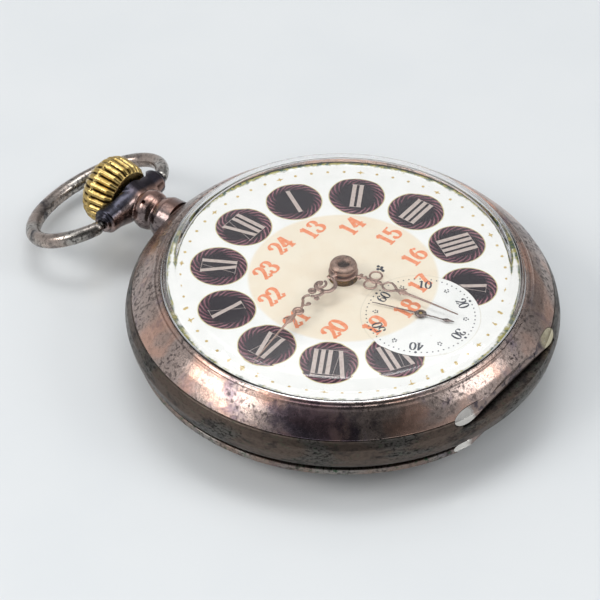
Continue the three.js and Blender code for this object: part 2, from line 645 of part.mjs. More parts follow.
add('mainspring_barrel', barrel(), 'brass');
const barrelRadius = pitchRadius(barrelMesh.wheel, barrelMesh) - 0.4;
add('barrel_cover', tube(barrelRadius, 1.0, 6.82, 6.97, barrelAt, 24), 'brass');
add('barrel_arbor', barrelArbor(), 'steel');
add('mainspring', spiral(barrelAt, 2.15, barrelRadius - 0.55, 4, 0.2, 7.05, 7.85, 0), 'blued');

add('centre_wheel', arborBody(centreAt, [[0.3, 5.55], [0.3, 6.4], [0.5, 6.4], [0.5, 12.6]],
  [[centreMesh.wheel, centreMesh.module, 6.45, 6.68, bearing(centreAt, thirdAt), true],
    [barrelMesh.pinion, barrelMesh.module, 7.9, 8.4, bearing(centreAt, barrelAt), false]], 4), 'brass');
add('third_wheel', arborBody(thirdAt, [[0.3, 5.55], [0.3, 9.2]],
  [[thirdMesh.wheel, thirdMesh.module, 7.55, 7.75, bearing(thirdAt, fourthAt), true],
    [centreMesh.pinion, centreMesh.module, 6.42, 6.95, bearing(thirdAt, centreAt), false]], 4), 'brass');
add('fourth_wheel', arborBody(fourthAt, [[0.3, 5.55], [0.3, 9.7], [0.22, 9.75], [0.22, 12.02]],
  [[fourthMesh.wheel, fourthMesh.module, 6.92, 7.1, bearing(fourthAt, escapeAt), true],
    [thirdMesh.pinion, thirdMesh.module, 7.4, 7.9, bearing(fourthAt, thirdAt), false]], 4), 'brass');
add('escape_wheel', escapeWheel(), 'steel');
add('pallet_fork', palletFork(), 'steel');
add('balance_wheel', balanceWheel(), 'brass');
add('hairspring', spiral(balanceAt, 0.85, 3.4, 4, 0.1, 6.42, 6.6, 0), 'blued');
add('regulator', regulator(), 'steel');

add('cannon_pinion', fromSolid(cut(join(
  slab(toothed(minuteMesh.pinion, minuteMesh.module, bearing(centreAt, minuteWheelAt)
    + Math.PI / minuteMesh.pinion, centreAt), 9.72, 10.1),
  turned([[0, 9.72], [0.8, 9.72], [0.8, 13.43], [1.5, 13.43], [1.45, 13.7], [1.15, 13.85], [0, 13.6]], 16)),
disc(0.53, 9, 12.7, centreAt, 14))), 'rose');
add('hour_wheel', fromSolid(cut(join(
  slab(toothed(hourMesh.wheel, hourMesh.module, bearing(centreAt, minuteWheelAt), centreAt), 10.2, 10.4),
  disc(1.25, 10.2, 12.65, centreAt, 16)), disc(0.85, 9, 13, centreAt, 16))), 'brass');
add('minute_wheel', arborBody(minuteWheelAt, [[0.4, 9.63], [0.4, 10.5]],
  [[minuteMesh.wheel, minuteMesh.module, 9.75, 9.98, bearing(minuteWheelAt, centreAt), true],
    [hourMesh.pinion, hourMesh.module, 10.1, 10.45, bearing(minuteWheelAt, centreAt), false]], 0), 'brass');

add('winding_pinion', pinionY(16.35, 17.95, 1.9, stemRadius + 0.05, 12), 'steel');
add('sliding_pinion', pinionY(14.5, 16.2, 1.35, stemRadius + 0.05, 8), 'steel');
const towardsRatchet = bearing(crownWheelAt, barrelAt);
const towardsCrownWheel = towardsRatchet + Math.PI;
add('crown_wheel', windingWheel(windingMesh.pinion, crownWheelAt, towardsRatchet, true, 0.65), 'steel');
add('ratchet_wheel', windingWheel(windingMesh.wheel, barrelAt, towardsCrownWheel, false, 0.6), 'steel');
add('ratchet_screw', screw(barrelAt, 4.4, 1.5, 0.36, 5.3, 0.55), 'blued');
add('crown_wheel_screw', screw(crownWheelAt, 4.4, 1.5, 0.36, 6.3, 0.5), 'blued');

const clickAt = polar(6.6, degrees(185), barrelAt);
add('click', bar(clickAt, polar(1.55, degrees(38), clickAt), 0.6, 0.2, 4.85, 5.35), 'steel');
add('click_spring', bar(polar(1.1, degrees(200), clickAt), polar(4.2, degrees(250), clickAt), 0.25, 0.12, 4.9,
  5.3), 'steel');
add('setting_lever', bar([2.9, 15.4], [6.4, 11.0], 0.5, 0.8, plateTopZ + 0.03, plateTopZ + 0.4), 'steel');
add('yoke', bar([-2.6, 14.2], [-7.4, 12.6], 0.4, 0.8, plateTopZ + 0.03, plateTopZ + 0.35), 'steel');

for (const [name, angle] of Object.entries(screwPlaces)) {
  add(name, screw(polar(screwCircle, degrees(angle)), 5.0, 0.85, 0.4, 7.4), 'blued');
}
for (const [name, angle] of Object.entries(casePlaces)) {
  add(name, screw(polar(screwCircle, degrees(angle)), 5.95, 1.25, 0.4, 7.4), 'steel');
}
add('pallet_cock_screw', screw(palletScrewAt, 6.9, 0.75, 0.35, 8.4, 0.35), 'blued');
const jewels = { centre_jewel: centreAt, third_jewel: thirdAt, fourth_jewel: fourthAt, escape_jewel: escapeAt,
  balance_jewel: balanceAt };
for (const [name, at] of Object.entries(jewels)) add(name, jewel(at), 'ruby');

export default watch;
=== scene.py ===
"""Open-face pocket watch lying on its back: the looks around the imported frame.

Shapes are worked out in millimetres and become metres when a piece is made. +Z is up through the dial,
and +Y runs from the middle of the dial to 12 o'clock and the pendant.
"""

import json
import math

import bpy
import numpy as np
from mathutils import Matrix, Vector

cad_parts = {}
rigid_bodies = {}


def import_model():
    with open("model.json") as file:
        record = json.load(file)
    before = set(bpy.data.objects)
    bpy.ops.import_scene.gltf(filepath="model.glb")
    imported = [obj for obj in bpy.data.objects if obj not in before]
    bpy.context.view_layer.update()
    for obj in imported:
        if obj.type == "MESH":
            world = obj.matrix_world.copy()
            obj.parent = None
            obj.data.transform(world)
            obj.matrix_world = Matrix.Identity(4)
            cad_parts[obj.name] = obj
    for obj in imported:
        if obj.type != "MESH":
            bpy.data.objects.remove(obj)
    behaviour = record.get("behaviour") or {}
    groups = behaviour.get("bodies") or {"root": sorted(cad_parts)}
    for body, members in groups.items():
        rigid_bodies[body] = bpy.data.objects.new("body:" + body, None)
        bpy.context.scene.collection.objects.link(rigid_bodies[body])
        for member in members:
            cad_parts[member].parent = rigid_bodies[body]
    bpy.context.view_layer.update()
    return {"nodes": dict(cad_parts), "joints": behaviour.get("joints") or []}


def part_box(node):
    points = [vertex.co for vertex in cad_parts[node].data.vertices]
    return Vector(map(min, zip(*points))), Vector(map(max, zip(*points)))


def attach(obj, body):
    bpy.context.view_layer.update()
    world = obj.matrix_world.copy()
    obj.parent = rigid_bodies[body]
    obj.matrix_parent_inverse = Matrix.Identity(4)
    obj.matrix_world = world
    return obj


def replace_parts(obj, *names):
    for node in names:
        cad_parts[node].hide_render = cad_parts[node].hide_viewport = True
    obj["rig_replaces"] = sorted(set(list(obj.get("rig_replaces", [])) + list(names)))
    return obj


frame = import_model()

MM = 0.001
TURN = 2 * math.pi


# ---- places that come from the frame ------------------------------------------------------------


def span(node):
    """A node's lowest and highest corners in millimetres."""
    low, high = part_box(node)
    return Vector(low) / MM, Vector(high) / MM


joint_place = {j["name"]: [v / MM for v in j.get("pos_m", (0, 0, 0))] for j in frame["joints"]}

case_r = span("case_middle")[1].x
glass_r = span("crystal")[1].x
glass_z = span("crystal")[0].z
glass_top_z = span("crystal")[1].z
dial_z = span("dial")[1].z
dial_r = span("dial")[1].x
back_r = span("back_cover")[1].x
dust_low_z = span("dust_cover")[0].z
stem_z = joint_place["winding"][2]
bow_y, bow_z = joint_place["bow_hinge"][1:]
bezel_hinge_y, bezel_hinge_z = joint_place["bezel_hinge"][1:]
back_hinge_y, back_hinge_z = joint_place["back_cover_hinge"][1:]
case_top_z = bezel_hinge_z + 0.02
seconds_y = joint_place["fourth_spin"][1]
minute_z = (13.25, 13.4)
hour_z = (12.48, 12.62)
second_z = (span("seconds_hand")[0].z, span("seconds_hand")[1].z)
pendant_low, pendant_high = span("pendant")
crown_low, crown_high = span("crown")

BEZEL_TUBE = 0.85
BACK_TUBE = 0.75
BEZEL_KNUCKLE = (-1.6, 4.5)
BACK_KNUCKLE = (-4.1, 0.8)
DUST_KNUCKLE = (1.0, 4.5)
KNUCKLE_GAP = 0.1
BEZEL_TUBE_HALF = 10.1
BACK_TUBE_HALF = 9.7
DOME = 2.3            # length of the filed end of a hinge tube
GROOVE_GAP = 0.06
WEB_HALF = 9.2        # half width of the notch that the bezel hinge lies in
NUMERAL_R = 14.7      # circle through the middles of the hour cartouches
DAY_R = 0.62 * NUMERAL_R
MINUTE_R = 1.30 * NUMERAL_R
CARTOUCHE_R = 3.42
PRINT = 0.012         # thickness of a printed layer
PRINT_LIFT = 0.002    # gap between the dial and the print
STROKE_STEP = 0.0015  # each stroke of a figure stands this much higher than the last, so that none coincide
CLOVER_STEP = 0.00002 # the same for the petals of the small clover on the dial
ROD_RIM = 0.06        # rounding at the ends of a rod
CREAM_R = 11.15
SECONDS_R = 6.3
SECONDS_EDGE = 6.95


# ---- mesh kit -----------------------------------------------------------------------------------


class Shape:
    """Points in millimetres and faces, with a material number for each face and named point values."""

    def __init__(self, points, faces, part=0):
        self.points = np.asarray(points, float).reshape(-1, 3)
        self.faces = [list(f) for f in faces]
        self.parts = [part] * len(self.faces)
        self.values = {}

    def moved(self, matrix):
        self.points = self.points @ np.asarray(matrix.to_3x3()).T + np.asarray(matrix.translation)
        return self

    def outward(self):
        """Turns the faces so that they point out of the body."""
        volume = 0.0
        for f in self.faces:
            first = self.points[f[0]]
            for i in range(1, len(f) - 1):
                volume += np.dot(first, np.cross(self.points[f[i]], self.points[f[i + 1]]))
        if volume < 0:
            self.faces = [f[::-1] for f in self.faces]
        return self


def merged(shapes):
    """One shape from many."""
    points, faces, parts, values, start = [], [], [], {}, 0
    names = {n for s in shapes for n in s.values}
    for s in shapes:
        points.append(s.points)
        faces += [[i + start for i in f] for f in s.faces]
        parts += s.parts
        for n in names:
            values.setdefault(n, []).append(np.asarray(s.values.get(n, np.zeros((len(s.points), 3)))))
        start += len(s.points)
    whole = Shape(np.vstack(points), faces)
    whole.parts = parts
    whole.values = {n: np.vstack(v) for n, v in values.items()}
    return whole


def rounded(corners, steps=4, closed=True):
    """An outline of (x, y) or (x, y, radius) corners, with each radius turned into a curve."""
    points = []
    count = len(corners)
    for i, corner in enumerate(corners):
        here = np.array(corner[:2], float)
        radius = corner[2] if len(corner) > 2 else 0
        if radius == 0 or (not closed and i in (0, count - 1)):
            points.append(tuple(here))
            continue
        before = np.array(corners[i - 1][:2], float) - here
        after = np.array(corners[(i + 1) % count][:2], float) - here
        reach = [np.linalg.norm(before), np.linalg.norm(after)]
        half = 0.5 * math.acos(max(-1, min(1, float(before @ after) / (reach[0] * reach[1]))))
        back = min(radius / max(math.tan(half), 1e-6), 0.48 * reach[0], 0.48 * reach[1])
        start = here + before / reach[0] * back
        end = here + after / reach[1] * back
        for k in range(steps + 1):
            t = k / steps
            points.append(tuple((1 - t) ** 2 * start + 2 * t * (1 - t) * here + t * t * end))
    return points


AXES = {
    "Z": Matrix(((1, 0, 0, 0), (0, 1, 0, 0), (0, 0, 1, 0), (0, 0, 0, 1))),
    "Y": Matrix(((1, 0, 0, 0), (0, 0, 1, 0), (0, -1, 0, 0), (0, 0, 0, 1))),
    "X": Matrix(((0, 0, 1, 0), (1, 0, 0, 0), (0, 1, 0, 0), (0, 0, 0, 1))),
}


def lathe(profile, segments=192, axis="Z", at=(0, 0, 0), wobble=None):
    """A closed body turned from (radius, height) points. wobble(angle, radius, height) gives a new radius."""
    points, rings = [], []
    for r, h in profile:
        if r < 1e-6:
            rings.append([len(points)])
            points.append((0, 0, h))
            continue
        rings.append(list(range(len(points), len(points) + segments)))
        for i in range(segments):
            a = TURN * i / segments
            reach = wobble(a, r, h) if wobble else r
            points.append((reach * math.cos(a), reach * math.sin(a), h))
    pairs = list(zip(rings, rings[1:]))
    if len(rings[0]) > 1:
        pairs.append((rings[-1], rings[0]))
    faces = []
    for a, b in pairs:
        for i in range(segments):
            j = (i + 1) % segments
            corners = [a[i % len(a)], b[i % len(b)], b[j % len(b)], a[j % len(a)]]
            corners = list(dict.fromkeys(corners))
            if len(corners) > 2:
                faces.append(corners)
    return Shape(points, faces).outward().moved(Matrix.Translation(at) @ AXES[axis])


def sweep(path, size, up=(0, 0, 1), sides=14, closed=False, cap=3):
    """A rod along a path. size(t) gives its half width and half height at the share t of the path."""
    path = np.asarray(path, float)
    count = len(path)
    tangents = (np.roll(path, -1, 0) - np.roll(path, 1, 0)) if closed else np.gradient(path, axis=0)
    tangents /= np.linalg.norm(tangents, axis=1)[:, None]
    above = np.array(up, float)
    rings = []
    for i in range(count):
        t = i / (count - 1) if not closed else i / count
        side = np.cross(tangents[i], above)
        side /= max(np.linalg.norm(side), 1e-9)
        top = np.cross(side, tangents[i])
        rings.append((path[i], side, top, *size(t), tangents[i]))
    if not closed and cap:
        def ends(ring, sign):
            middle, side, top, wide, tall, along = ring
            dome = []
            for k in range(1, cap + 1):
                angle = math.pi / 2 * k / (cap + 0.6)
                dome.append((middle + sign * along * min(wide, tall) * math.sin(angle), side, top,
                             wide * math.cos(angle), tall * math.cos(angle), along))
            return dome
        rings = ends(rings[0], -1)[::-1] + rings + ends(rings[-1], 1)
    points = []
    for middle, side, top, wide, tall, _ in rings:
        for k in range(sides):
            a = TURN * k / sides
            points.append(middle + side * wide * math.cos(a) + top * tall * math.sin(a))
    faces = []
    last = len(rings) if closed else len(rings) - 1
    for i in range(last):
        j = (i + 1) % len(rings)
        for k in range(sides):
            n = (k + 1) % sides
            faces.append([i * sides + k, i * sides + n, j * sides + n, j * sides + k])
    if not closed:
        faces.append(list(range(sides))[::-1])
        faces.append(list(range((len(rings) - 1) * sides, len(rings) * sides)))
    return Shape(points, faces).outward()


def slab(outline, z0, z1, part=0):
    """A flat plate over an outline of (x, y) points."""
    n = len(outline)
    points = [(x, y, z0) for x, y in outline] + [(x, y, z1) for x, y in outline]
    faces = [list(range(n))[::-1], list(range(n, 2 * n))]
    faces += [[i, (i + 1) % n, n + (i + 1) % n, n + i] for i in range(n)]
    return Shape(points, faces, part).outward()


def band(path, halves, z0, z1, closed=False):
    """A flat stripe along a path of (x, y) points, with its half width at each."""
    path = np.asarray(path, float)
    tangents = (np.roll(path, -1, 0) - np.roll(path, 1, 0)) if closed else np.gradient(path, axis=0)
    tangents /= np.maximum(np.linalg.norm(tangents, axis=1), 1e-9)[:, None]
    normals = np.stack([-tangents[:, 1], tangents[:, 0]], 1)
    halves = np.broadcast_to(np.asarray(halves, float), (len(path),))[:, None]
    left, right = path + normals * halves, path - normals * halves
    points = []
    for a, b in zip(left, right):
        points += [(*a, z1), (*b, z1), (*b, z0), (*a, z0)]
    faces = []
    steps = len(path) if closed else len(path) - 1
    for i in range(steps):
        a, b = 4 * i, 4 * ((i + 1) % len(path))
        for k in range(4):
            n = (k + 1) % 4
            faces.append([a + k, a + n, b + n, b + k])
    if not closed:
        end = 4 * (len(path) - 1)
        faces += [[0, 3, 2, 1], [end, end + 1, end + 2, end + 3]]
    return Shape(points, faces).outward()


def arc(cx, cy, rx, ry, start, end, steps=14):
    """Points of an ellipse's arc, with its angles in degrees."""
    angles = np.radians(np.linspace(start, end, steps + 1))
    return [(cx + rx * math.cos(a), cy + ry * math.sin(a)) for a in angles]


def disc(x, y, r, z0, z1, sides=14):
    return slab(arc(x, y, r, r, 0, 360 - 360 / sides, sides - 1), z0, z1)


def made(name, shape, sharp=38):
    """A Blender object from a shape, in metres."""
    mesh = bpy.data.meshes.new(name)
    mesh.from_pydata([tuple(p * MM) for p in shape.points], [], shape.faces)
    mesh.polygons.foreach_set("material_index", shape.parts)
    for key, numbers in shape.values.items():
        attribute = mesh.attributes.new(key, "FLOAT_VECTOR", "POINT")
        attribute.data.foreach_set("vector", np.asarray(numbers, np.float32).ravel())
    mesh.validate()
    mesh.shade_smooth()
    mesh.set_sharp_from_angle(angle=math.radians(sharp))
    piece = bpy.data.objects.new(name, mesh)
    bpy.context.scene.collection.objects.link(piece)
    return piece


def baked(piece, sharp=38):
    """Applies a piece's modifiers to its mesh."""
    bpy.context.view_layer.update()
    mesh = bpy.data.meshes.new_from_object(piece.evaluated_get(bpy.context.evaluated_depsgraph_get()))
    piece.modifiers.clear()
    piece.data = mesh
    mesh.shade_smooth()
    mesh.set_sharp_from_angle(angle=math.radians(sharp))


def carve(piece, shapes, operation="DIFFERENCE", sharp=38):
    """Cuts shapes out of a piece, or joins or crosses it with them."""
    tools = []
    for shape in shapes:
        tool = made("tool", shape)
        modifier = piece.modifiers.new("carve", "BOOLEAN")
        modifier.object = tool
        modifier.operation = operation
        modifier.solver = "EXACT"
        tools.append(tool)
    baked(piece, sharp)
    for tool in tools:
        bpy.data.meshes.remove(tool.data)


def block(x, y, z):
    """A box between (low, high) pairs."""
    points = [(x[i], y[j], z[k]) for k in (0, 1) for j in (0, 1) for i in (0, 1)]
    faces = [[0, 1, 3, 2], [4, 5, 7, 6], [0, 1, 5, 4], [2, 3, 7, 6], [0, 2, 6, 4], [1, 3, 7, 5]]
    shape = Shape(points, faces)
    centre = shape.points.mean(0)
    for n, f in enumerate(faces):
        a, b, c = (shape.points[i] for i in f[:3])
        if np.dot(np.cross(b - a, c - a), a - centre) < 0:
            shape.faces[n] = f[::-1]
    return shape


def rod_x(radius, x0, x1, y, z, segments=48):
    """A rod along X with slightly rounded rims."""
    profile = rounded([(0, x0), (radius, x0, ROD_RIM), (radius, x1, ROD_RIM), (0, x1)], 3, closed=False)
    return lathe(profile, segments, "X", (0, y, z))


def dress(piece, body, looks, slot, *nodes):
    """Gives a piece its materials and its place in the frame."""
    piece.data.materials.clear()
    for look in looks if isinstance(looks, (list, tuple)) else [looks]:
        piece.data.materials.append(look)
    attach(piece, body)
    if nodes:
        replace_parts(piece, *nodes)


# ---- material kit -------------------------------------------------------------------------------


class Look:
    """A material's node tree around one Principled shader. `place` is the surface point in millimetres."""

    def __init__(self, name, **settings):
        self.material = bpy.data.materials.new(name)
        self.material.use_nodes = True
        self.tree = self.material.node_tree
        self.tree.nodes.clear()
        output = self.tree.nodes.new("ShaderNodeOutputMaterial")
        self.shader = self.tree.nodes.new("ShaderNodeBsdfPrincipled")
        self.tree.links.new(self.shader.outputs[0], output.inputs["Surface"])
        coordinates = self.tree.nodes.new("ShaderNodeTexCoord")
        scaled = self.tree.nodes.new("ShaderNodeVectorMath")
        scaled.operation = "SCALE"
        scaled.inputs["Scale"].default_value = 1 / MM
        self.tree.links.new(coordinates.outputs["Object"], scaled.inputs[0])
        self.place = scaled.outputs[0]
        self.set(**{k.replace("_", " "): v for k, v in settings.items()})

    def put(self, socket, value):
        if isinstance(value, bpy.types.NodeSocket):
            self.tree.links.new(value, socket)
        elif isinstance(value, (tuple, list)) and len(value) == 3 and socket.type == "RGBA":
            socket.default_value = (*value, 1)
        else:
            socket.default_value = value

    def set(self, **inputs):
        for name, value in inputs.items():
            self.put(self.shader.inputs[name], value)

    def node(self, kind, inputs, **settings):
        made_node = self.tree.nodes.new(kind)
        for name, value in settings.items():
            setattr(made_node, name, value)
        for name, value in inputs.items():
            self.put(made_node.inputs[name], value)
        return made_node

    def noise(self, scale, detail=4, roughness=0.55, distortion=0.0, place=None):
        inputs = {"Vector": place or self.place, "Scale": scale, "Detail": detail,
                  "Roughness": roughness, "Distortion": distortion}
        return self.node("ShaderNodeTexNoise", inputs).outputs[0]

    def stretched(self, x, y, z):
        return self.node("ShaderNodeVectorMath", {0: self.place, 1: (x, y, z)},
                         operation="MULTIPLY").outputs[0]

    def maths(self, operation, *values):
        return self.node("ShaderNodeMath", dict(enumerate(values)), operation=operation).outputs[0]

    def plus(self, a, b):
        return self.maths("ADD", a, b)

    def minus(self, a, b):
        return self.maths("SUBTRACT", a, b)

    def times(self, a, b):
        return self.maths("MULTIPLY", a, b)

    def length(self, x, y):
        return self.maths("SQRT", self.plus(self.times(x, x), self.times(y, y)))

    def ease(self, value, low, high, start=0.0, end=1.0):
        inputs = {"Value": value, "From Min": low, "From Max": high, "To Min": start, "To Max": end}
        return self.node("ShaderNodeMapRange", inputs, interpolation_type="SMOOTHSTEP").outputs[0]

    def mix(self, share, a, b):
        return self.node("ShaderNodeMix", {0: share, 6: a, 7: b}, data_type="RGBA").outputs[2]

    def finished(self, colour, rough, height=None, depth=0.0):
        """Sets the colour, roughness and relief (its depth in millimetres) and returns the material."""
        self.set(**{"Base Color": colour, "Roughness": rough})
        if height is not None:
            relief = self.node("ShaderNodeBump", {"Height": height, "Strength": 1.0, "Distance": depth * MM})
            self.set(Normal=relief.outputs[0])
        return self.material

    def split(self, vector):
        return self.node("ShaderNodeSeparateXYZ", {0: vector}).outputs

    def radius(self, centre_y=0.0):
        """Distance from the upright axis through (0, centre_y)."""
        x, y, _ = self.split(self.place)
        y = self.minus(y, centre_y)
        return self.length(x, y)

    def attribute(self, name):
        return self.node("ShaderNodeAttribute", {}, attribute_name=name).outputs["Vector"]


def tarnished(name, copper, grey, dark, blotch, copper_share=0.5, blotch_share=0.6, speckle=0.6,
              gloss=0.2, offset=0.0, green=0.0, streak=1.0, cap=None,
              patch=None):
    """Old silver: rose-copper and grey patches, blue-violet oxide, dark speckle and small pits. `cap` (y0,
    z0) adds painted shade over the top of a piece.
    """
    look = Look(name, Metallic=1.0)
    place = look.node("ShaderNodeVectorMath",
                      {0: look.stretched(1, 1, streak), 1: (offset, offset * 0.7, -offset)},
                      operation="ADD").outputs[0]
    broad = look.noise(0.13, 3, 0.5, 0.6, place)
    middle = look.noise(0.34, 7, 0.66, 0.3, place)
    fine = look.noise(2.1, 6, 0.65, 0.0, place)
    grit = look.noise(7.0, 3, 0.6, 0.0, place)
    edge = 0.5 - 0.12 * (copper_share - 0.5) * 2
    colour = look.mix(look.ease(broad, edge + 0.09, edge - 0.09), grey, copper)
    veil = look.times(look.ease(middle, 0.5, 0.7), blotch_share)
    colour = look.mix(veil, colour, blotch)
    if patch:
        px, py, wide = patch
        x, y, _ = look.split(look.place)
        dx, dy = look.minus(x, px), look.minus(y, py)
        away = look.length(dx, dy)
        away = look.plus(away, look.times(look.minus(middle, 0.5), 22.0))
        colour = look.mix(look.ease(away, wide, wide * 0.3, 0.0, 0.68), colour, blotch)
    # Painted shade: the top of the piece above z0 is painted dark, most of all past y0.
    if cap:
        y0, z0 = cap
        _, y, z = look.split(look.place)
        height = look.plus(z, look.times(look.minus(middle, 0.5), 3.0))
        black = look.times(look.ease(height, z0, z0 + 0.8), look.ease(y, y0, y0 + 0.5, 0.25, 0.93))
        colour = look.mix(black, colour, blotch)
    dirty = look.ease(broad, 0.36, 0.6, 0.25, 1.0)
    stain = look.times(look.times(look.ease(fine, 0.48, 0.62), speckle), dirty)
    colour = look.mix(stain, colour, dark)
    dust = look.times(look.times(look.ease(grit, 0.56, 0.68), speckle), dirty)
    colour = look.mix(dust, colour, dark)
    rough = look.ease(middle, 0.35, 0.75, gloss, gloss + 0.16)
    rough = look.plus(rough, look.times(stain, 0.22))
    if green:
        patina = look.times(look.ease(look.noise(1.3, 5, 0.7, 0, place), 0.56, 0.66), green)
        colour = look.mix(patina, colour, (0.05, 0.13, 0.07))
        rough = look.plus(rough, look.times(patina, 0.4))
    height = look.plus(look.times(fine, 0.5), look.times(grit, 0.25))
    height = look.plus(height, look.times(middle, 0.7))
    return look.finished(colour, rough, height, 0.018)


COPPER = (0.60, 0.385, 0.305)
GREY = (0.44, 0.355, 0.32)
DARK = (0.022, 0.018, 0.02)
VIOLET = (0.075, 0.06, 0.13)


def polished(name, colour, shade, gloss=0.12, scale=0.8):
    """Cleaner metal with faint rubbing marks and a little dirt."""
    look = Look(name, Metallic=1.0)
    wide = look.noise(scale, 5, 0.6)
    fine = look.noise(scale * 7, 4, 0.6)
    tone = look.mix(look.ease(wide, 0.38, 0.68), colour, shade)
    return look.finished(tone, look.ease(fine, 0.3, 0.75, gloss, gloss + 0.2), fine, 0.008)


def striped_nickel(name, colour, gap=1.7, direction=(0.94, 0.34)):
    """Nickel plate with the wide, soft stripes of a finished movement."""
    look = Look(name, Metallic=1.0)
    x, y, _ = look.split(look.place)
    across = look.plus(look.times(x, direction[0]), look.times(y, direction[1]))
    wave = look.maths("FRACT", look.maths("DIVIDE", across, gap))
    grain = look.noise(1.0, 4, 0.6, 0.0, look.stretched(14, 3, 3))
    shade = tuple(c * 0.62 for c in colour)
    tone = look.mix(look.plus(look.times(wave, 0.55), look.ease(grain, 0.3, 0.8, 0, 0.35)),
                    colour, shade)
    return look.finished(tone, look.ease(grain, 0.3, 0.7, 0.2, 0.34), look.plus(wave, look.times(grain, 0.3)),
                         0.03)


def brushed(name, colour, gloss=0.22):
    """Fine straight graining, for wheels, levers and screws."""
    look = Look(name, Metallic=1.0)
    grain = look.noise(1.0, 4, 0.6, 0.0, look.stretched(16, 2, 8))
    wide = look.noise(0.9, 4, 0.6)
    shade = tuple(c * 0.55 for c in colour)
    return look.finished(look.mix(look.ease(wide, 0.4, 0.75), colour, shade),
                         look.ease(grain, 0.3, 0.7, gloss, gloss + 0.15), grain, 0.006)


def ink(name, colour, shade, rough=0.35, metal=0.0):
    """Printed or painted enamel, a little uneven."""
    look = Look(name, Metallic=metal)
    wide = look.noise(2.4, 5, 0.65)
    return look.finished(look.mix(look.ease(wide, 0.42, 0.66), colour, shade),
                         look.ease(wide, 0.3, 0.7, rough, rough + 0.15), wide, 0.004)


def enamel():
    """White enamel with a cream middle, hairline dirt, and verdigris where the rim meets the bezel."""
    look = Look("dial_enamel", IOR=1.5)
    reach = look.radius()
    cloud = look.noise(0.35, 4, 0.6)
    white = look.mix(look.ease(cloud, 0.35, 0.7), (0.90, 0.905, 0.88), (0.86, 0.87, 0.84))
    cream = look.mix(look.ease(cloud, 0.35, 0.7), (0.87, 0.79, 0.64), (0.85, 0.75, 0.59))
    tone = look.mix(look.ease(reach, CREAM_R + 0.25, CREAM_R - 0.25), white, cream)
    inner = look.ease(look.maths("ABSOLUTE", look.minus(look.radius(seconds_y), SECONDS_EDGE)),
                      0.09, 0.03, 0.0, 0.4)
    tone = look.mix(inner, tone, (0.60, 0.56, 0.44))
    dots = look.ease(look.noise(3.1, 2, 0.5), 0.70, 0.76, 0.0, 0.35)
    tone = look.mix(dots, tone, (0.45, 0.36, 0.25))
    ragged = look.plus(reach, look.times(look.noise(0.9, 5, 0.7), 1.3))
    stain = look.ease(ragged, dial_r - 0.1, dial_r + 0.25)
    tone = look.mix(stain, tone, look.mix(look.ease(look.noise(1.7, 3, 0.6), 0.42, 0.6),
                                          (0.33, 0.30, 0.06), (0.012, 0.06, 0.03)))
    return look.finished(tone, look.ease(cloud, 0.3, 0.7, 0.08, 0.16), cloud, 0.01)


def cartouche_paint():
    """Near-black maroon with curved, rope-like strokes round the edge and a pale gold outline."""
    look = Look("cartouche_enamel")
    x, y, _ = look.split(look.attribute("local"))
    reach = look.length(x, y)
    angle = look.maths("ARCTAN2", y, x)
    wavy = look.noise(1.4, 4, 0.65)
    curl = look.times(reach, 1.9)
    phase = look.times(look.plus(angle, curl), 20.0)
    phase = look.plus(phase, look.times(wavy, 7.0))
    stroke = look.ease(look.maths("SINE", phase), 0.05, 0.95)
    depth = look.times(look.noise(0.55, 2, 0.5), 0.5)
    rim = look.ease(look.plus(reach, depth), 0.86, 1.12)
    share = look.times(stroke, rim)
    side = look.ease(look.noise(0.4, 2, 0.5), 0.35, 0.65)
    paint = look.mix(side, (0.24, 0.085, 0.115), (0.33, 0.14, 0.17))
    ground = look.mix(rim, (0.013, 0.007, 0.012), (0.032, 0.012, 0.02))
    tone = look.mix(share, ground, paint)
    gold = look.ease(reach, 0.962, 0.972)
    tone = look.mix(gold, tone, (0.62, 0.55, 0.30))
    return look.finished(tone, look.ease(wavy, 0.3, 0.7, 0.12, 0.22), look.plus(share, gold), 0.012)


def glass():
    look = Look("crystal_glass", Transmission_Weight=1.0, IOR=1.5)
    smudge = look.noise(0.22, 4, 0.6)
    return look.finished(look.mix(look.ease(smudge, 0.4, 0.7), (1, 1, 1), (0.985, 0.99, 0.99)),
                         look.ease(smudge, 0.45, 0.8, 0.0, 0.03))


def gilt_crown():
    """Polished gilt with dark brown dirt and painted shade in the grooves."""
    look = Look("gilt_brass", Metallic=1.0)
    groove = look.split(look.attribute("groove"))[0]
    wear = look.noise(1.6, 5, 0.6)
    gold = look.mix(look.ease(wear, 0.4, 0.7), (0.60, 0.44, 0.17), (0.42, 0.29, 0.09))
    # The grooves are painted near black: partly dirt, partly painted shade between the ribs.
    dirt_and_shade = look.ease(look.plus(groove, look.times(look.minus(wear, 0.5), 0.5)),
                     0.42, 0.85)
    return look.finished(look.mix(dirt_and_shade, gold, (0.035, 0.018, 0.008)),
                         look.plus(look.ease(wear, 0.3, 0.7, 0.22, 0.34), look.times(dirt_and_shade, 0.4)), wear, 0.012)


def joint_tube():
    """Hinge tube: tarnished in the middle, rubbed bright at its filed ends."""
    look = Look("hinge_silver", Metallic=1.0)
    x, _, _ = look.split(look.place)
    reach = look.maths("ABSOLUTE", look.plus(x, 0.4))
    wear = look.noise(1.1, 5, 0.6)
    bright = look.ease(look.plus(reach, look.times(wear, 1.8)), 7.5, 8.4)
    warm = look.mix(look.ease(x, -2, 8), (0.66, 0.64, 0.60), (0.64, 0.57, 0.40))
    old = look.mix(look.ease(wear, 0.42, 0.6), (0.30, 0.235, 0.21), (0.10, 0.085, 0.095))
    return look.finished(look.mix(bright, old, warm), look.ease(bright, 0, 1, 0.34, 0.13), wear, 0.03)


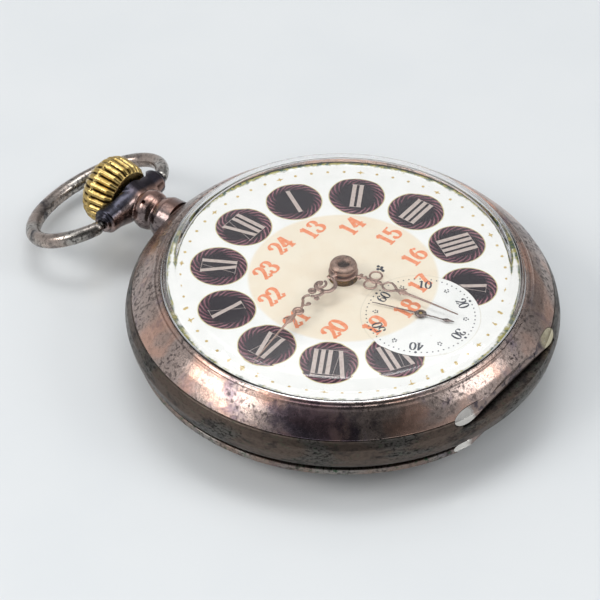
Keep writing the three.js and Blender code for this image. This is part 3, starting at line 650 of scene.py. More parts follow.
bezel_silver = tarnished("bezel_silver", COPPER, GREY, DARK, VIOLET, 0.8, 0.6, 0.9, 0.2,
                         patch=(-22.0, -11.5, 7.5))
case_silver = tarnished("case_silver", (0.115, 0.088, 0.073), (0.105, 0.098, 0.09), (0.012, 0.011, 0.01),
                        (0.03, 0.028, 0.03), 0.45, 0.9, 0.9, 0.28, 31.0, 0.2, 2.4)
back_silver = tarnished("back_silver", (0.25, 0.19, 0.16), (0.27, 0.25, 0.23), (0.015, 0.013, 0.012), VIOLET,
                        0.35,
                        0.5, 0.8, 0.3, 57.0, 0.8)
dust_silver = tarnished("dust_cover_silver", (0.55, 0.47, 0.40), (0.58, 0.55, 0.51), (0.12, 0.10, 0.09),
                        (0.30, 0.27, 0.26), 0.3, 0.35, 0.3, 0.16, 83.0)
# Its cap is painted shade: the top of the saddle, from just below the bow's axis up, is painted near black.
pendant_silver = tarnished("pendant_silver", (0.50, 0.31, 0.25), (0.26, 0.21, 0.20), DARK,
                           (0.032, 0.036, 0.052), 0.6,
                           0.95, 0.6, 0.15, 12.0, cap=(30.6, bow_z - 0.1))
bow_silver = tarnished("bow_silver", (0.40, 0.33, 0.29), (0.42, 0.40, 0.37), DARK, (0.05, 0.05, 0.06), 0.4,
                       0.95,
                       0.8, 0.2, 44.0)
hinge_silver = joint_tube()
rose_metal = tarnished("rose_hands", (0.44, 0.29, 0.235), (0.33, 0.235, 0.20), (0.06, 0.04, 0.035),
                       (0.16, 0.115, 0.10), 0.7, 0.5, 0.4, 0.34, 5.0)
dark_steel = polished("seconds_steel", (0.22, 0.175, 0.16), (0.10, 0.08, 0.08), 0.3, 2.0)
steel = brushed("polished_steel", (0.50, 0.50, 0.51), 0.16)
blued = brushed("blued_steel", (0.035, 0.065, 0.26), 0.16)
brass = brushed("wheel_brass", (0.72, 0.52, 0.22), 0.2)
nickel = striped_nickel("nickel_bridges", (0.62, 0.60, 0.565))
plate_nickel = brushed("plate_nickel", (0.55, 0.53, 0.49), 0.24)


# ---- case ---------------------------------------------------------------------------------------

foot_z = case_top_z + 0.06
bezel_profile = rounded([
    (glass_r - 0.45, dial_z + 0.07), (glass_r - 0.45, dial_z + 0.25, 0.05), (glass_r + 0.05, dial_z + 0.25),
    (glass_r + 0.05, dial_z + 0.55, 0.08), (glass_r + 0.27, dial_z + 0.74, 0.14),
    (glass_r + 0.55, dial_z + 0.44, 0.05), (glass_r + 0.75, dial_z + 0.54, 0.08),
    (glass_r + 0.95, dial_z + 0.29, 0.05), (glass_r + 1.2, dial_z + 0.12, 0.4),
    (glass_r + 2.15, dial_z - 0.70, 3.0), (glass_r + 2.95, dial_z - 1.60, 2.0),
    (glass_r + 3.44, dial_z - 2.15, 0.04), (glass_r + 3.42, foot_z, 0.02), (glass_r + 2.1, foot_z),
    (glass_r + 2.1, dial_z - 1.05), (glass_r + 0.5, dial_z - 1.05), (glass_r + 0.3, dial_z + 0.07)])

case_outline = [(case_r - 0.7, 5.45, 0.12), (case_r - 0.25, 6.1, 0.7), (case_r, stem_z, 1.0),
                (case_r - 0.25, 8.4, 0.8), (case_r - 0.65, 9.05, 0.3),
                (case_r - 0.73, case_top_z - 0.12, 0.05),
                (case_r - 0.82, case_top_z - 0.08, 0.03), (case_r - 0.84, case_top_z, 0.03)]
lip_z = dial_z - 1.15
case_profile = rounded(case_outline + [
    (23.4, case_top_z), (23.4, lip_z), (22.0, lip_z), (21.6, 9.9), (21.6, 6.4),
    (22.4, 6.4), (22.4, 4.6), (23.85, 4.6), (23.85, 5.45)])
back_profile = rounded([
    (0, 0), (13.0, 0, 1.2), (17.0, 0.55, 3.0), (20.5, 1.6, 3.0), (22.8, 2.7, 2.0), (24.35, 3.7, 0.3),
    (24.45, 3.92, 0.05), (back_r, 4.0, 0.1), (back_r, 4.72, 0.15), (24.4, 4.8), (24.0, 4.8), (24.0, 4.2),
    (22.4, 3.15), (20.2, 2.1), (16.8, 1.1), (13.0, 0.55), (0, 0.55)], closed=False)
dust_profile = rounded([
    (0, dust_low_z), (9.0, dust_low_z + 0.02, 0.3), (9.25, dust_low_z + 0.07, 0.1),
                        (19.0, dust_low_z + 0.1, 0.8),
    (21.3, 3.75, 0.6), (22.3, 4.2, 0.2), (23.5, 4.2, 0.05), (23.5, 4.5, 0.05), (22.1, 4.5, 0.2),
                        (21.1, 4.08, 0.4),
    (18.9, 3.75, 0.4), (0, 3.65)], closed=False)

outside = lathe(rounded([(0, 2), (back_r - 2.2, 2), (back_r - 0.4, 3.7), (back_r, 4.2), (back_r, 5.3),
                         (case_r - 0.7, 5.5), *case_outline[1:6], (case_r - 0.86, case_top_z),
                         (glass_r + 2.95, dial_z - 1.6), (glass_r + 2.15, dial_z - 0.7), (0, dial_z - 0.7)],
                        closed=False), 192)


def domed_tube(radius, root, tip, y, z, gap=0.0):
    """A hinge tube along X from its inner end to its outer end, which is filed to a dome."""
    side = math.copysign(1, tip)
    reach, length = abs(tip) + gap, DOME + gap
    wide = radius + gap
    angles = np.linspace(0, TURN / 4, 10)
    dome = [(wide * math.cos(a), side * (reach - length + length * math.sin(a))) for a in angles]
    return lathe([(0, root), (wide, root), *dome], 48, "X", (0, y, z))


def bezel_knuckle(x0, x1):
    return rod_x(BEZEL_TUBE, x0 + KNUCKLE_GAP / 2, x1 - KNUCKLE_GAP / 2, bezel_hinge_y, bezel_hinge_z)


def back_knuckle(x0, x1):
    return rod_x(BACK_TUBE, x0 + KNUCKLE_GAP / 2, x1 - KNUCKLE_GAP / 2, back_hinge_y, back_hinge_z)


def tubes(name, knuckles, body):
    """Hinge tubes filed flush with the outline of the case."""
    piece = made(name, knuckles[0])
    for knuckle in knuckles[1:]:
        carve(piece, [knuckle], "UNION")
    carve(piece, [outside], "INTERSECT", 30)
    dress(piece, body, hinge_silver, "tarnished_silver")


def hinge_groove(half, tube, y, z):
    """The round groove that a hinge tube lies in, as two halves that overlap in the middle."""
    return [domed_tube(tube, -1.0, half, y, z, GROOVE_GAP), domed_tube(tube, 1.0, -half, y, z, GROOVE_GAP)]


def build_case():
    half, back_half = BEZEL_TUBE_HALF, BACK_TUBE_HALF
    half_gap = KNUCKLE_GAP / 2
    band_piece = made("case_band", lathe(case_profile, 288))
    wide = WEB_HALF
    carve(band_piece, [
        block((-wide, wide), (-30, bezel_hinge_y + BEZEL_TUBE + 0.08),
              (bezel_hinge_z - BEZEL_TUBE - 0.12, 12)),
        *hinge_groove(half, BEZEL_TUBE, bezel_hinge_y, bezel_hinge_z),
        block((-back_half + 0.6, back_half - 0.6), (-30, back_hinge_y + BACK_TUBE + 0.15), (3, 6.1)),
        *hinge_groove(back_half, BACK_TUBE, back_hinge_y, back_hinge_z)])
    webs = [block((-wide, BEZEL_KNUCKLE[0] - 0.1), (-23.4, -22.1), (8.0, 8.9)),
            block((BEZEL_KNUCKLE[1] + 0.1, wide), (-23.4, -22.1), (8.0, 8.9)),
            block((-8.4, BACK_KNUCKLE[0] - 0.1), (-23.1, -21.9), (4.9, 6.3)),
            block((DUST_KNUCKLE[1] + 0.1, 8.4), (-23.1, -21.9), (4.9, 6.3))]
    carve(band_piece, webs, "UNION")
    carve(band_piece, [lathe(rounded([(0.95, 15), (0.95, 30), (0, 30), (0, 15)], closed=False)[::-1], 32, "Y",
                             (0, 0, stem_z))])
    dress(band_piece, "case", case_silver, "tarnished_silver", "case_middle")
    tubes("bezel_hinge_tubes", [
        domed_tube(BEZEL_TUBE, BEZEL_KNUCKLE[0] - half_gap, -half, bezel_hinge_y, bezel_hinge_z),
        domed_tube(BEZEL_TUBE, BEZEL_KNUCKLE[1] + half_gap, half, bezel_hinge_y, bezel_hinge_z)], "case")
    tubes("back_hinge_tubes", [
        domed_tube(BACK_TUBE, BACK_KNUCKLE[0] - half_gap, -back_half, back_hinge_y, back_hinge_z),
        domed_tube(BACK_TUBE, DUST_KNUCKLE[1] + half_gap, back_half, back_hinge_y, back_hinge_z)], "case")


def build_bezel():
    wide = WEB_HALF
    ring_piece = made("bezel_ring", lathe(bezel_profile, 288))
    carve(ring_piece, [
        block((-wide, wide), (-30, bezel_hinge_y + BEZEL_TUBE + 0.08), (9, bezel_hinge_z + 0.35)),
        block((-wide, wide), (-30, bezel_hinge_y - 0.65), (9, 14)),
        *hinge_groove(BEZEL_TUBE_HALF, BEZEL_TUBE, bezel_hinge_y, bezel_hinge_z)])
    carve(ring_piece, [block((BEZEL_KNUCKLE[0] + 0.05, BEZEL_KNUCKLE[1] - 0.05), (-23.4, -22.2),
                             (9.7, 10.4))],
          "UNION")
    dress(ring_piece, "bezel", bezel_silver, "tarnished_silver", "bezel")
    tubes("bezel_hinge_knuckle", [bezel_knuckle(*BEZEL_KNUCKLE)], "bezel")


def build_covers():
    half = BACK_TUBE_HALF
    slot = [block((-half + 0.6, half - 0.6), (-30, back_hinge_y + BACK_TUBE + 0.15), (2.9, 6)),
            *hinge_groove(half, BACK_TUBE, back_hinge_y, back_hinge_z)]
    shell = made("back_shell", lathe(back_profile, 288))
    carve(shell, slot)
    carve(shell, [block((BACK_KNUCKLE[0] + 0.05, BACK_KNUCKLE[1] - 0.05), (-22.5, -21.7), (2.7, 4.3))],
          "UNION")
    dress(shell, "back_cover", back_silver, "tarnished_silver", "back_cover")
    tubes("back_cover_knuckle", [back_knuckle(*BACK_KNUCKLE)], "back_cover")
    inner = made("dust_shell", lathe(dust_profile, 240))
    carve(inner, slot)
    carve(inner, [block((DUST_KNUCKLE[0] + 0.05, DUST_KNUCKLE[1] - 0.05), (-23.0, -21.6), (4.2, 4.5))],
          "UNION")
    dress(inner, "dust_cover", dust_silver, "tarnished_silver", "dust_cover")
    tubes("dust_cover_knuckle", [back_knuckle(*DUST_KNUCKLE)], "dust_cover")


def build_crystal():
    top = glass_top_z
    outer = [(0, top), (8, top - 0.10, 30), (15, top - 0.40, 14), (19.7, top - 0.90, 1.6),
             (20.9, top - 1.70, 0.9),
             (21.25, top - 2.5, 0.8), (glass_r, glass_z + 0.4, 0.3), (glass_r, glass_z, 0.05)]
    inner = [(20.7, glass_z, 0.05), (20.45, glass_z + 0.9, 0.5), (19.3, top - 1.55, 1.0),
             (15, top - 1.05, 12),
             (8, top - 0.75, 30), (0, top - 0.68)]
    piece = made("crystal_glass", lathe(rounded(outer + inner, 8, closed=False), 288), 50)
    piece.visible_shadow = False
    piece.visible_diffuse = False
    dress(piece, "bezel", glass(), "crystal_glass", "crystal")


# ---- pendant, bow and crown ---------------------------------------------------------------------


def build_pendant():
    neck = lathe(rounded([(0, 23.5), (2.75, 23.5), (2.75, 26.6, 0.2), (2.4, 27.35, 0.2), (1.85, 27.85, 0.12),
                          (2.35, 28.3, 0.3), (2.55, 29.2, 0.6), (2.4, 29.9, 0.4), (1.85, 30.45, 0.12),
                          (2.1, 31.0, 0.3), (2.6, 32.4, 0.5), (2.9, 33.0), (0, 33.0)], closed=False),
                 96, "Y", (0, 0, bow_z))
    low, high = pendant_low.x, pendant_high.x
    saddle = lathe(rounded([(0, low), (1.12, low, 0.1), (1.2, low + 0.45, 0.1), (1.6, low + 0.6, 0.3),
                            (1.72, low + 2.2, 0.9), (2.1, low + 3.7, 0.9), (2.35, (low + high) / 2, 1.0),
                            (2.1, high - 3.7, 0.9), (1.72, high - 2.2, 0.9), (1.6, high - 0.6, 0.3),
                            (1.2, high - 0.45, 0.1), (1.12, high, 0.1), (0, high)],
                           closed=False), 96, "X", (0, bow_y, bow_z))
    piece = made("pendant_body", merged([neck, saddle]))
    remesh = piece.modifiers.new("blend", "REMESH")
    remesh.mode = "VOXEL"
    remesh.voxel_size = 0.09 * MM
    smooth = piece.modifiers.new("smooth", "SMOOTH")
    smooth.factor = 0.5
    smooth.iterations = 7
    baked(piece)
    dish = lathe(rounded([(0, 32.35), (3.6, 32.35, 0.3), (4.6, 33.6, 0.3), (4.6, 36), (0, 36)], closed=False),
                 96, "Y", (0, 0, bow_z))
    fit = [(r + 0.03, z) for r, z in rounded(case_outline, closed=False)]
    seat = lathe([(0, 4), (25, 4), *fit, (25.0, case_top_z + 0.05), (25.1, 12), (0, 12)], 192)
    bores = [rod_x(0.65, x0, x1, bow_y, bow_z, 32) for x0, x1 in ((-30, -3.0), (2.6, 30))]
    stem = lathe([(0, 20), (0.8, 20), (0.8, 34), (0, 34)], 32, "Y", (0, 0, bow_z))
    lean = Matrix.Translation((0, 29.15, bow_z)) @ Matrix.Rotation(math.radians(-32), 4, "Y")
    oil_hole = disc(0, 0, 0.27, 1.2, 4, 20).moved(lean)
    carve(piece, [dish, seat, *bores, stem, oil_hole], sharp=48)
    dress(piece, "case", pendant_silver, "tarnished_silver", "pendant")


def build_bow():
    tilt = math.radians(23.6)
    half_width, half_length, centre, shift = 9.7, 7.25, 5.55, -0.5
    start = math.acos(centre / half_length)
    path = []
    for t in np.linspace(0, 1, 97):
        a = start + (TURN - 2 * start) * t
        along = centre - half_length * math.cos(a)
        path.append((shift + half_width * math.sin(a), bow_y + along * math.cos(tilt),
                     bow_z - along * math.sin(tilt)))

    def size(t):
        worn = 0.84 + 0.13 * math.sin(math.pi * t) ** 0.7 + 0.012 * math.sin(23 * t)
        return 0.97 * worn, 1.0 * worn

    oval = sweep(path, size, up=(0, math.sin(tilt), math.cos(tilt)), sides=24, cap=4)
    right, left = path[0][0], path[-1][0]
    pins = [rod_x(0.5, 3.6, right, bow_y, bow_z, 24), rod_x(0.5, left, -4.0, bow_y, bow_z, 24)]
    piece = made("bow_ring", oval)
    carve(piece, pins, "UNION")
    dress(piece, "bow", bow_silver, "tarnished_silver", "bow")


CROWN_RIBS = 26
GROOVE_DEPTH = 0.36
GROOVE_START = 2.45    # radius where the grooves begin on the end of the crown


def build_crown():
    base, top = crown_low.y, crown_high.y
    crease = base + 2.95
    profile = rounded([(0.53, base), (3.45, base, 0.1), (4.02, base + 0.75, 0.5), (4.27, crease - 0.5, 0.5),
                       (4.3, crease + 0.25, 0.5), (3.95, base + 3.95, 0.8), (2.9, top - 0.2, 0.8),
                       (1.4, top - 0.02, 0.6),
                       (0, top), (0, base + 3.6), (0.53, base + 3.6)], 6, closed=False)
    dense = []
    for (r0, h0), (r1, h1) in zip(profile, profile[1:]):
        steps = max(1, int(math.hypot(r1 - r0, h1 - h0) / 0.12)) if min(r0, r1) > 2.4 else 1
        dense += [(r0 + (r1 - r0) * k / steps, h0 + (h1 - h0) * k / steps) for k in range(steps)]
    dense.append(profile[-1])

    def cut(angle, r, h):
        """How deep the groove is at a point, from 0 to 1."""
        if r < GROOVE_START or h < base + 0.05:
            return 0.0
        phase = abs((angle * CROWN_RIBS / TURN) % 1 - 0.5) * 2
        across = max(0.0, 1 - phase / 0.62) ** 0.7
        fade = min(1.0, max(0.0, (r - 2.5) / 0.5))
        pinch = 1 - 0.75 * math.exp(-((h - crease) / 0.22) ** 2)
        return across * fade * pinch

    shape = lathe(dense, CROWN_RIBS * 10, "Z", wobble=lambda a, r, h: r - GROOVE_DEPTH * cut(a, r, h))
    grooves = [(cut(math.atan2(y, x) % TURN, 4.0 if math.hypot(x, y) > 2.3 else 0, z), 0, 0)
               for x, y, z in shape.points]
    shape.values = {"groove": np.array(grooves)}
    shape.moved(Matrix.Translation((0, 0, stem_z)) @ AXES["Y"])
    dress(made("winding_crown", shape, 60), "crown", gilt_crown(), "gilt_brass", "crown")


# ---- dial ---------------------------------------------------------------------------------------


def clock(hours, radius, centre_y=0.0):
    """The point at an hour on a circle."""
    a = math.radians(90 - 30 * hours)
    return radius * math.cos(a), centre_y + radius * math.sin(a)


def turned_to(shape, x, y, turn):
    """Places a flat shape drawn at the origin, with its top turned clockwise by `turn` degrees."""
    return shape.moved(Matrix.Translation((x, y, 0)) @ Matrix.Rotation(math.radians(-turn), 4, "Z"))


def clipped(outline, centre, radius):
    """The part of an outline that lies outside a circle. Its cut edge follows the circle."""
    cx, cy = centre
    n = len(outline)
    out = [math.hypot(x - cx, y - cy) > radius for x, y in outline]
    if all(out):
        return outline
    first = next(i for i in range(n) if out[i] and not out[i - 1])
    kept = []
    i = first
    while out[i % n]:
        kept.append(outline[i % n])
        i += 1
    a0 = math.atan2(kept[-1][1] - cy, kept[-1][0] - cx)
    a1 = math.atan2(kept[0][1] - cy, kept[0][0] - cx)
    sweep_angle = (a1 - a0 + math.pi) % TURN - math.pi
    steps = 24
    edge = [(cx + radius * math.cos(a0 + sweep_angle * k / steps),
             cy + radius * math.sin(a0 + sweep_angle * k / steps))
            for k in range(steps + 1)]
    return kept + edge


def numeral_strokes(text, height):
    """Roman numeral drawn about the origin: an outline for each of its bars and serifs."""
    bar, hair, pitch = 0.50, 0.02, 0.83
    widths = {"I": pitch, "V": 1.62, "X": 1.75}
    x = -sum(widths[c] for c in text) / 2
    low, high = -height / 2, height / 2
    strokes = []

    def line(x0, x1, half):
        strokes.append([(x0 - half, low), (x0 + half, low), (x1 + half, high), (x1 - half, high)])

    for c in text:
        middle = x + widths[c] / 2
        if c == "I":
            line(middle, middle, bar / 2)
        elif c == "V":
            line(middle + 0.1, middle - 0.52, bar / 2)
            line(middle + 0.1, middle + 0.58, hair)
        else:
            line(middle + 0.55, middle - 0.55, bar / 2)
            line(middle - 0.55, middle + 0.55, hair)
        x += widths[c]
    total = sum(widths[c] for c in text) / 2
    reach = total - 0.1
    serif = 0.022
    for y in (low, high):
        strokes.append([(-reach, y - serif), (reach, y - serif), (reach, y + serif), (-reach, y + serif)])
    return strokes


def clip_polygon(outline, centre, radius):
    """Cuts a small convex outline by the line that touches a circle nearest to it, keeping its outer side."""
    mx = sum(p[0] for p in outline) / len(outline) - centre[0]
    my = sum(p[1] for p in outline) / len(outline) - centre[1]
    size = math.hypot(mx, my)
    ux, uy = mx / size, my / size

    def depth(p):
        return (p[0] - centre[0]) * ux + (p[1] - centre[1]) * uy - radius

    kept = []
    for a, b in zip(outline, outline[1:] + outline[:1]):
        da, db = depth(a), depth(b)
        if da >= 0:
            kept.append(a)
        if (da >= 0) != (db >= 0):
            t = da / (da - db)
            kept.append((a[0] + (b[0] - a[0]) * t, a[1] + (b[1] - a[1]) * t))
    return kept


def rotate(points, x, y, turn):
    """Turns points clockwise by `turn` degrees and puts their origin at (x, y)."""
    a = math.radians(-turn)
    c, s = math.cos(a), math.sin(a)
    return [(x + px * c - py * s, y + px * s + py * c) for px, py in points]


def split_long(outline, pieces=8):
    """Cuts a four-sided stroke into short lengths, so that each can be clipped along a curve."""
    a, b, c, d = outline
    parts = []
    for k in range(pieces):
        t0, t1 = k / pieces, (k + 1) / pieces

        def at(p, q, t):
            return p[0] + (q[0] - p[0]) * t, p[1] + (q[1] - p[1]) * t

        parts.append([at(a, d, t0), at(b, c, t0), at(b, c, t1), at(a, d, t1)])
    return parts


HOURS = {1: "I", 2: "II", 3: "III", 4: "IIII", 5: "V", 7: "VII", 8: "VIII", 9: "IX", 10: "X", 11: "XI",
         12: "XII"}


def build_cartouches():
    z0, z1 = dial_z + PRINT_LIFT, dial_z + PRINT
    centre = (0, seconds_y)
    discs, bars = [], []
    for hour, text in HOURS.items():
        x, y = clock(hour, NUMERAL_R)
        outline = clipped(arc(x, y, CARTOUCHE_R, CARTOUCHE_R, 0, 357, 119), centre, SECONDS_EDGE)
        plate = slab(outline, z0, z1)
        plate.values = {"local": (plate.points - np.array((x, y, 0))) / CARTOUCHE_R}
        discs.append(plate)
        near = hour in (5, 7)
        for order, stroke in enumerate(numeral_strokes(text, 4.1)):
            stroke = rotate(stroke, x, y, 30 * hour)
            top = z1 + PRINT + STROKE_STEP * order
            for outline in split_long(stroke) if near else [stroke]:
                if near:
                    outline = clip_polygon(outline, centre, SECONDS_EDGE + 0.1)
                if len(outline) > 2:
                    bars.append(slab(outline, z1, top))
    dress(made("hour_cartouches", merged(discs)), "case", cartouche_paint(), "dial_enamel")
    beige = ink("numeral_beige", (0.53, 0.45, 0.41), (0.43, 0.345, 0.31))
    dress(made("hour_numerals", merged(bars)), "case", beige, "dial_enamel")


def figure(digit):
    """A figure's strokes and ball ends in a box one unit high, with the baseline at 0."""
    rise = {
        "0": [arc(0.30, 0.5, 0.24, 0.47, 0, 360, 28)],
        "1": [[(0.30, 0.03), (0.30, 0.25), (0.30, 0.5), (0.30, 0.75), (0.30, 0.97)],
              [(0.30, 0.97), (0.2, 0.88), (0.1, 0.82)],
              [(0.1, 0.03), (0.3, 0.03), (0.5, 0.03)]],
        "2": [arc(0.30, 0.72, 0.22, 0.25, 185, -25, 16) + [(0.40, 0.42), (0.22, 0.2), (0.09, 0.05)],
              [(0.09, 0.09), (0.2, 0.13), (0.34, 0.06), (0.46, 0.04), (0.55, 0.2)]],
        "3": [arc(0.28, 0.74, 0.2, 0.23, 170, -85, 16), arc(0.28, 0.27, 0.25, 0.25, 85, -165, 18)],
        "4": [[(0.40, 0.97), (0.22, 0.62), (0.04, 0.28)], [(0.04, 0.28), (0.3, 0.28), (0.6, 0.28)],
              [(0.40, 0.97), (0.40, 0.7), (0.40, 0.4), (0.40, 0.03)],
              [(0.24, 0.03), (0.4, 0.03), (0.56, 0.03)]],
        "5": [[(0.14, 0.93), (0.3, 0.93), (0.5, 0.95)], [(0.14, 0.95), (0.13, 0.75), (0.12, 0.53)],
              arc(0.29, 0.3, 0.24, 0.28, 135, -160, 20)],
        "6": [arc(0.30, 0.3, 0.23, 0.27, 0, 360, 24), arc(0.45, 0.38, 0.38, 0.58, 178, 100, 12)],
        "7": [[(0.07, 0.93), (0.3, 0.95), (0.54, 0.93)],
              [(0.54, 0.93), (0.38, 0.62), (0.27, 0.35), (0.25, 0.03)]],
        "8": [arc(0.30, 0.74, 0.18, 0.22, 0, 360, 22), arc(0.30, 0.27, 0.23, 0.25, 0, 360, 24)],
        "9": [arc(0.30, 0.7, 0.23, 0.27, 0, 360, 24), arc(0.15, 0.62, 0.38, 0.58, -2, -80, 12)],
    }[digit]
    balls = {"2": [(0.12, 0.70)], "3": [(0.12, 0.74), (0.09, 0.24)], "5": [(0.09, 0.22)], "6": [(0.46, 0.84)],
             "9": [(0.14, 0.15)]}.get(digit, [])
    return rise, balls


def number(text, height, z0, z1, hair, stem):
    """A number about the origin, `stem` wide where a stroke runs up and `hair` wide where it runs across."""
    shapes = []
    advance = 0.62
    start = -advance * len(text) / 2 + 0.01
    for i, digit in enumerate(text):
        strokes, balls = figure(digit)
        for path in strokes:
            path = np.array(path)
            steps = np.gradient(path, axis=0)
            upright = np.abs(steps[:, 1]) / np.maximum(np.linalg.norm(steps, axis=1), 1e-9)
            halves = (hair + (stem - hair) * upright ** 1.6) * height
            closed = len(path) > 20 and np.allclose(path[0], path[-1])
            place = (path + np.array([start + i * advance, -0.5])) * height
            if closed:
                place, halves = place[:-1], halves[:-1]
            top = z1 + STROKE_STEP * len(shapes)
            shapes.append(band(place, halves, z0, top, closed))
        for bx, by in balls:
            top = z1 + STROKE_STEP * len(shapes)
            shapes.append(disc((bx + start + i * advance) * height, (by - 0.5) * height, 0.085 * height, z0,
                               top, 12))
    return shapes


def build_day_numbers():
    z0, z1 = dial_z + PRINT_LIFT, dial_z + PRINT * 1.6
    shapes = []
    for hour in range(1, 13):
        x, y = clock(hour, DAY_R)
        for shape in number(str(hour + 12), 2.35, z0, z1, 0.045, 0.115):
            shapes.append(turned_to(shape, x, y, 0))
    orange = ink("orange_print", (0.80, 0.235, 0.095), (0.86, 0.36, 0.20))
    dress(made("day_numbers", merged(shapes)), "case", orange, "dial_enamel")


def build_tracks():
    z0, z1 = dial_z + PRINT_LIFT, dial_z + PRINT
    dots = []
    for minute in range(60):
        x, y = clock(minute / 5, MINUTE_R)
        if minute % 5:
            dots.append(disc(x, y, 0.19, z0, z1, 12))
        else:
            leaf = [(0.5, 0), (0.12, 0.12), (0, 0.34), (-0.12, 0.12), (-0.5, 0), (-0.12, -0.12), (0, -0.34),
                    (0.12, -0.12)]
            dots.append(turned_to(slab(leaf, z0, z1, 1), x, y, 6 * minute))
    gold = ink("gold_dots", (0.66, 0.50, 0.20), (0.50, 0.36, 0.12), 0.3, 0.3)
    olive = ink("olive_leaves", (0.50, 0.53, 0.33), (0.58, 0.52, 0.28), 0.35)
    dress(made("minute_track", merged(dots)), "case", [gold, olive], "dial_enamel")

    z2 = z1 + 0.012
    marks = []
    for second in range(60):
        x, y = clock(second / 5, SECONDS_R, seconds_y)
        marks.append(disc(x, y, 0.16 if second % 10 == 0 else 0.085, z0, z2, 10))
    for second in range(5, 60, 10):
        for dx, dy in ((0, 0.26), (0.21, 0.02), (-0.21, 0.02), (0.12, -0.22), (-0.12, -0.22)):
            cx, cy = clock(second / 5, SECONDS_R - 1.05, seconds_y)
            mark = disc(dx, dy, 0.095, z0, z2, 8)
            marks.append(turned_to(mark, cx, cy, 6 * second))
    for dx, dy in ((0.18, 0.38), (-0.24, 0.12), (0.28, -0.06), (-0.02, -0.2), (-0.1, -0.5)):
        marks.append(disc(3.75 + dx, -2.6 + dy, 0.2, z0, z2 + CLOVER_STEP * len(marks), 12))
    for second in range(10, 70, 10):
        x, y = clock(second / 5, SECONDS_R - 0.98, seconds_y)
        for shape in number(str(second), 1.3, z0, z2, 0.022, 0.085):
            marks.append(turned_to(shape, x, y, 6 * second))
    black = ink("black_print", (0.02, 0.022, 0.032), (0.05, 0.06, 0.09))
    dress(made("seconds_track", merged(marks)), "case", black, "dial_enamel")


def build_dial():
    holes = [lathe([(0, dial_z - 3), (r, dial_z - 3), (r, dial_z + 3), (0, dial_z + 3)], 48, "Z", (0, y, 0))
             for r, y in ((1.75, 0), (0.5, seconds_y))]
    face = lathe(rounded([(0, dial_z - 0.98), (dial_r - 0.05, dial_z - 0.98, 0.1),
                          (dial_r, dial_z - 0.3, 0.15),
                          (dial_r - 0.12, dial_z, 0.12), (0, dial_z)], closed=False), 240)
    piece = made("dial_plate", face)
    carve(piece, holes)
    dress(piece, "case", enamel(), "dial_enamel", "dial")
    build_cartouches()
    build_day_numbers()
    build_tracks()


# ---- hands --------------------------------------------------------------------------------------


def spiral(cx, cy, start, end, a0, a1, steps=22):
    """Points from radius `start` to radius `end` while turning from a0 to a1 degrees."""
    points = []
    for k in range(steps + 1):
        t = k / steps
        a = math.radians(a0 + (a1 - a0) * t)
        r = start + (end - start) * t
        points.append((cx + r * math.cos(a), cy + r * math.sin(a)))
    return points


def wire(path, wide, tall, z, end_wide=None, closed=False):
    """A domed strip of the hand, drawn in the hand's own frame: x runs towards the tip."""
    last = wide if end_wide is None else end_wide
    solid = [(x, y, z) for x, y in path]
    return sweep(solid, lambda t: (wide + (last - wide) * t, tall), sides=10, closed=closed, cap=2)


def drooped(shape, bend, tip, droop):
    """Bends a hand down from the radius `bend` on, by `droop` at the radius `tip`."""
    reach = np.hypot(shape.points[:, 0], shape.points[:, 1])
    share = np.clip((reach - bend) / (tip - bend), 0, 1.2)
    shape.points[:, 2] -= droop * share * (0.35 + 0.65 * share)
    return shape


def aimed(shape, hours, centre_y=0.0):
    """Turns a hand's own frame to a clock position."""
    turn = math.radians(90 - 30 * hours)
    return shape.moved(Matrix.Translation((0, centre_y, 0)) @ Matrix.Rotation(turn, 4, "Z"))


def ring(x, y, radius, wide, tall, z):
    return wire(arc(x, y, radius, radius, 0, 345, 23), wide, tall, z, closed=True)


def ball(x, y, radius, tall, z):
    profile = [(0, z - tall), (radius * 0.75, z - tall * 0.8), (radius, z), (radius * 0.75, z + tall * 0.8),
               (0, z + tall)]
    return lathe(profile, 16, "Z", (x, y, 0))


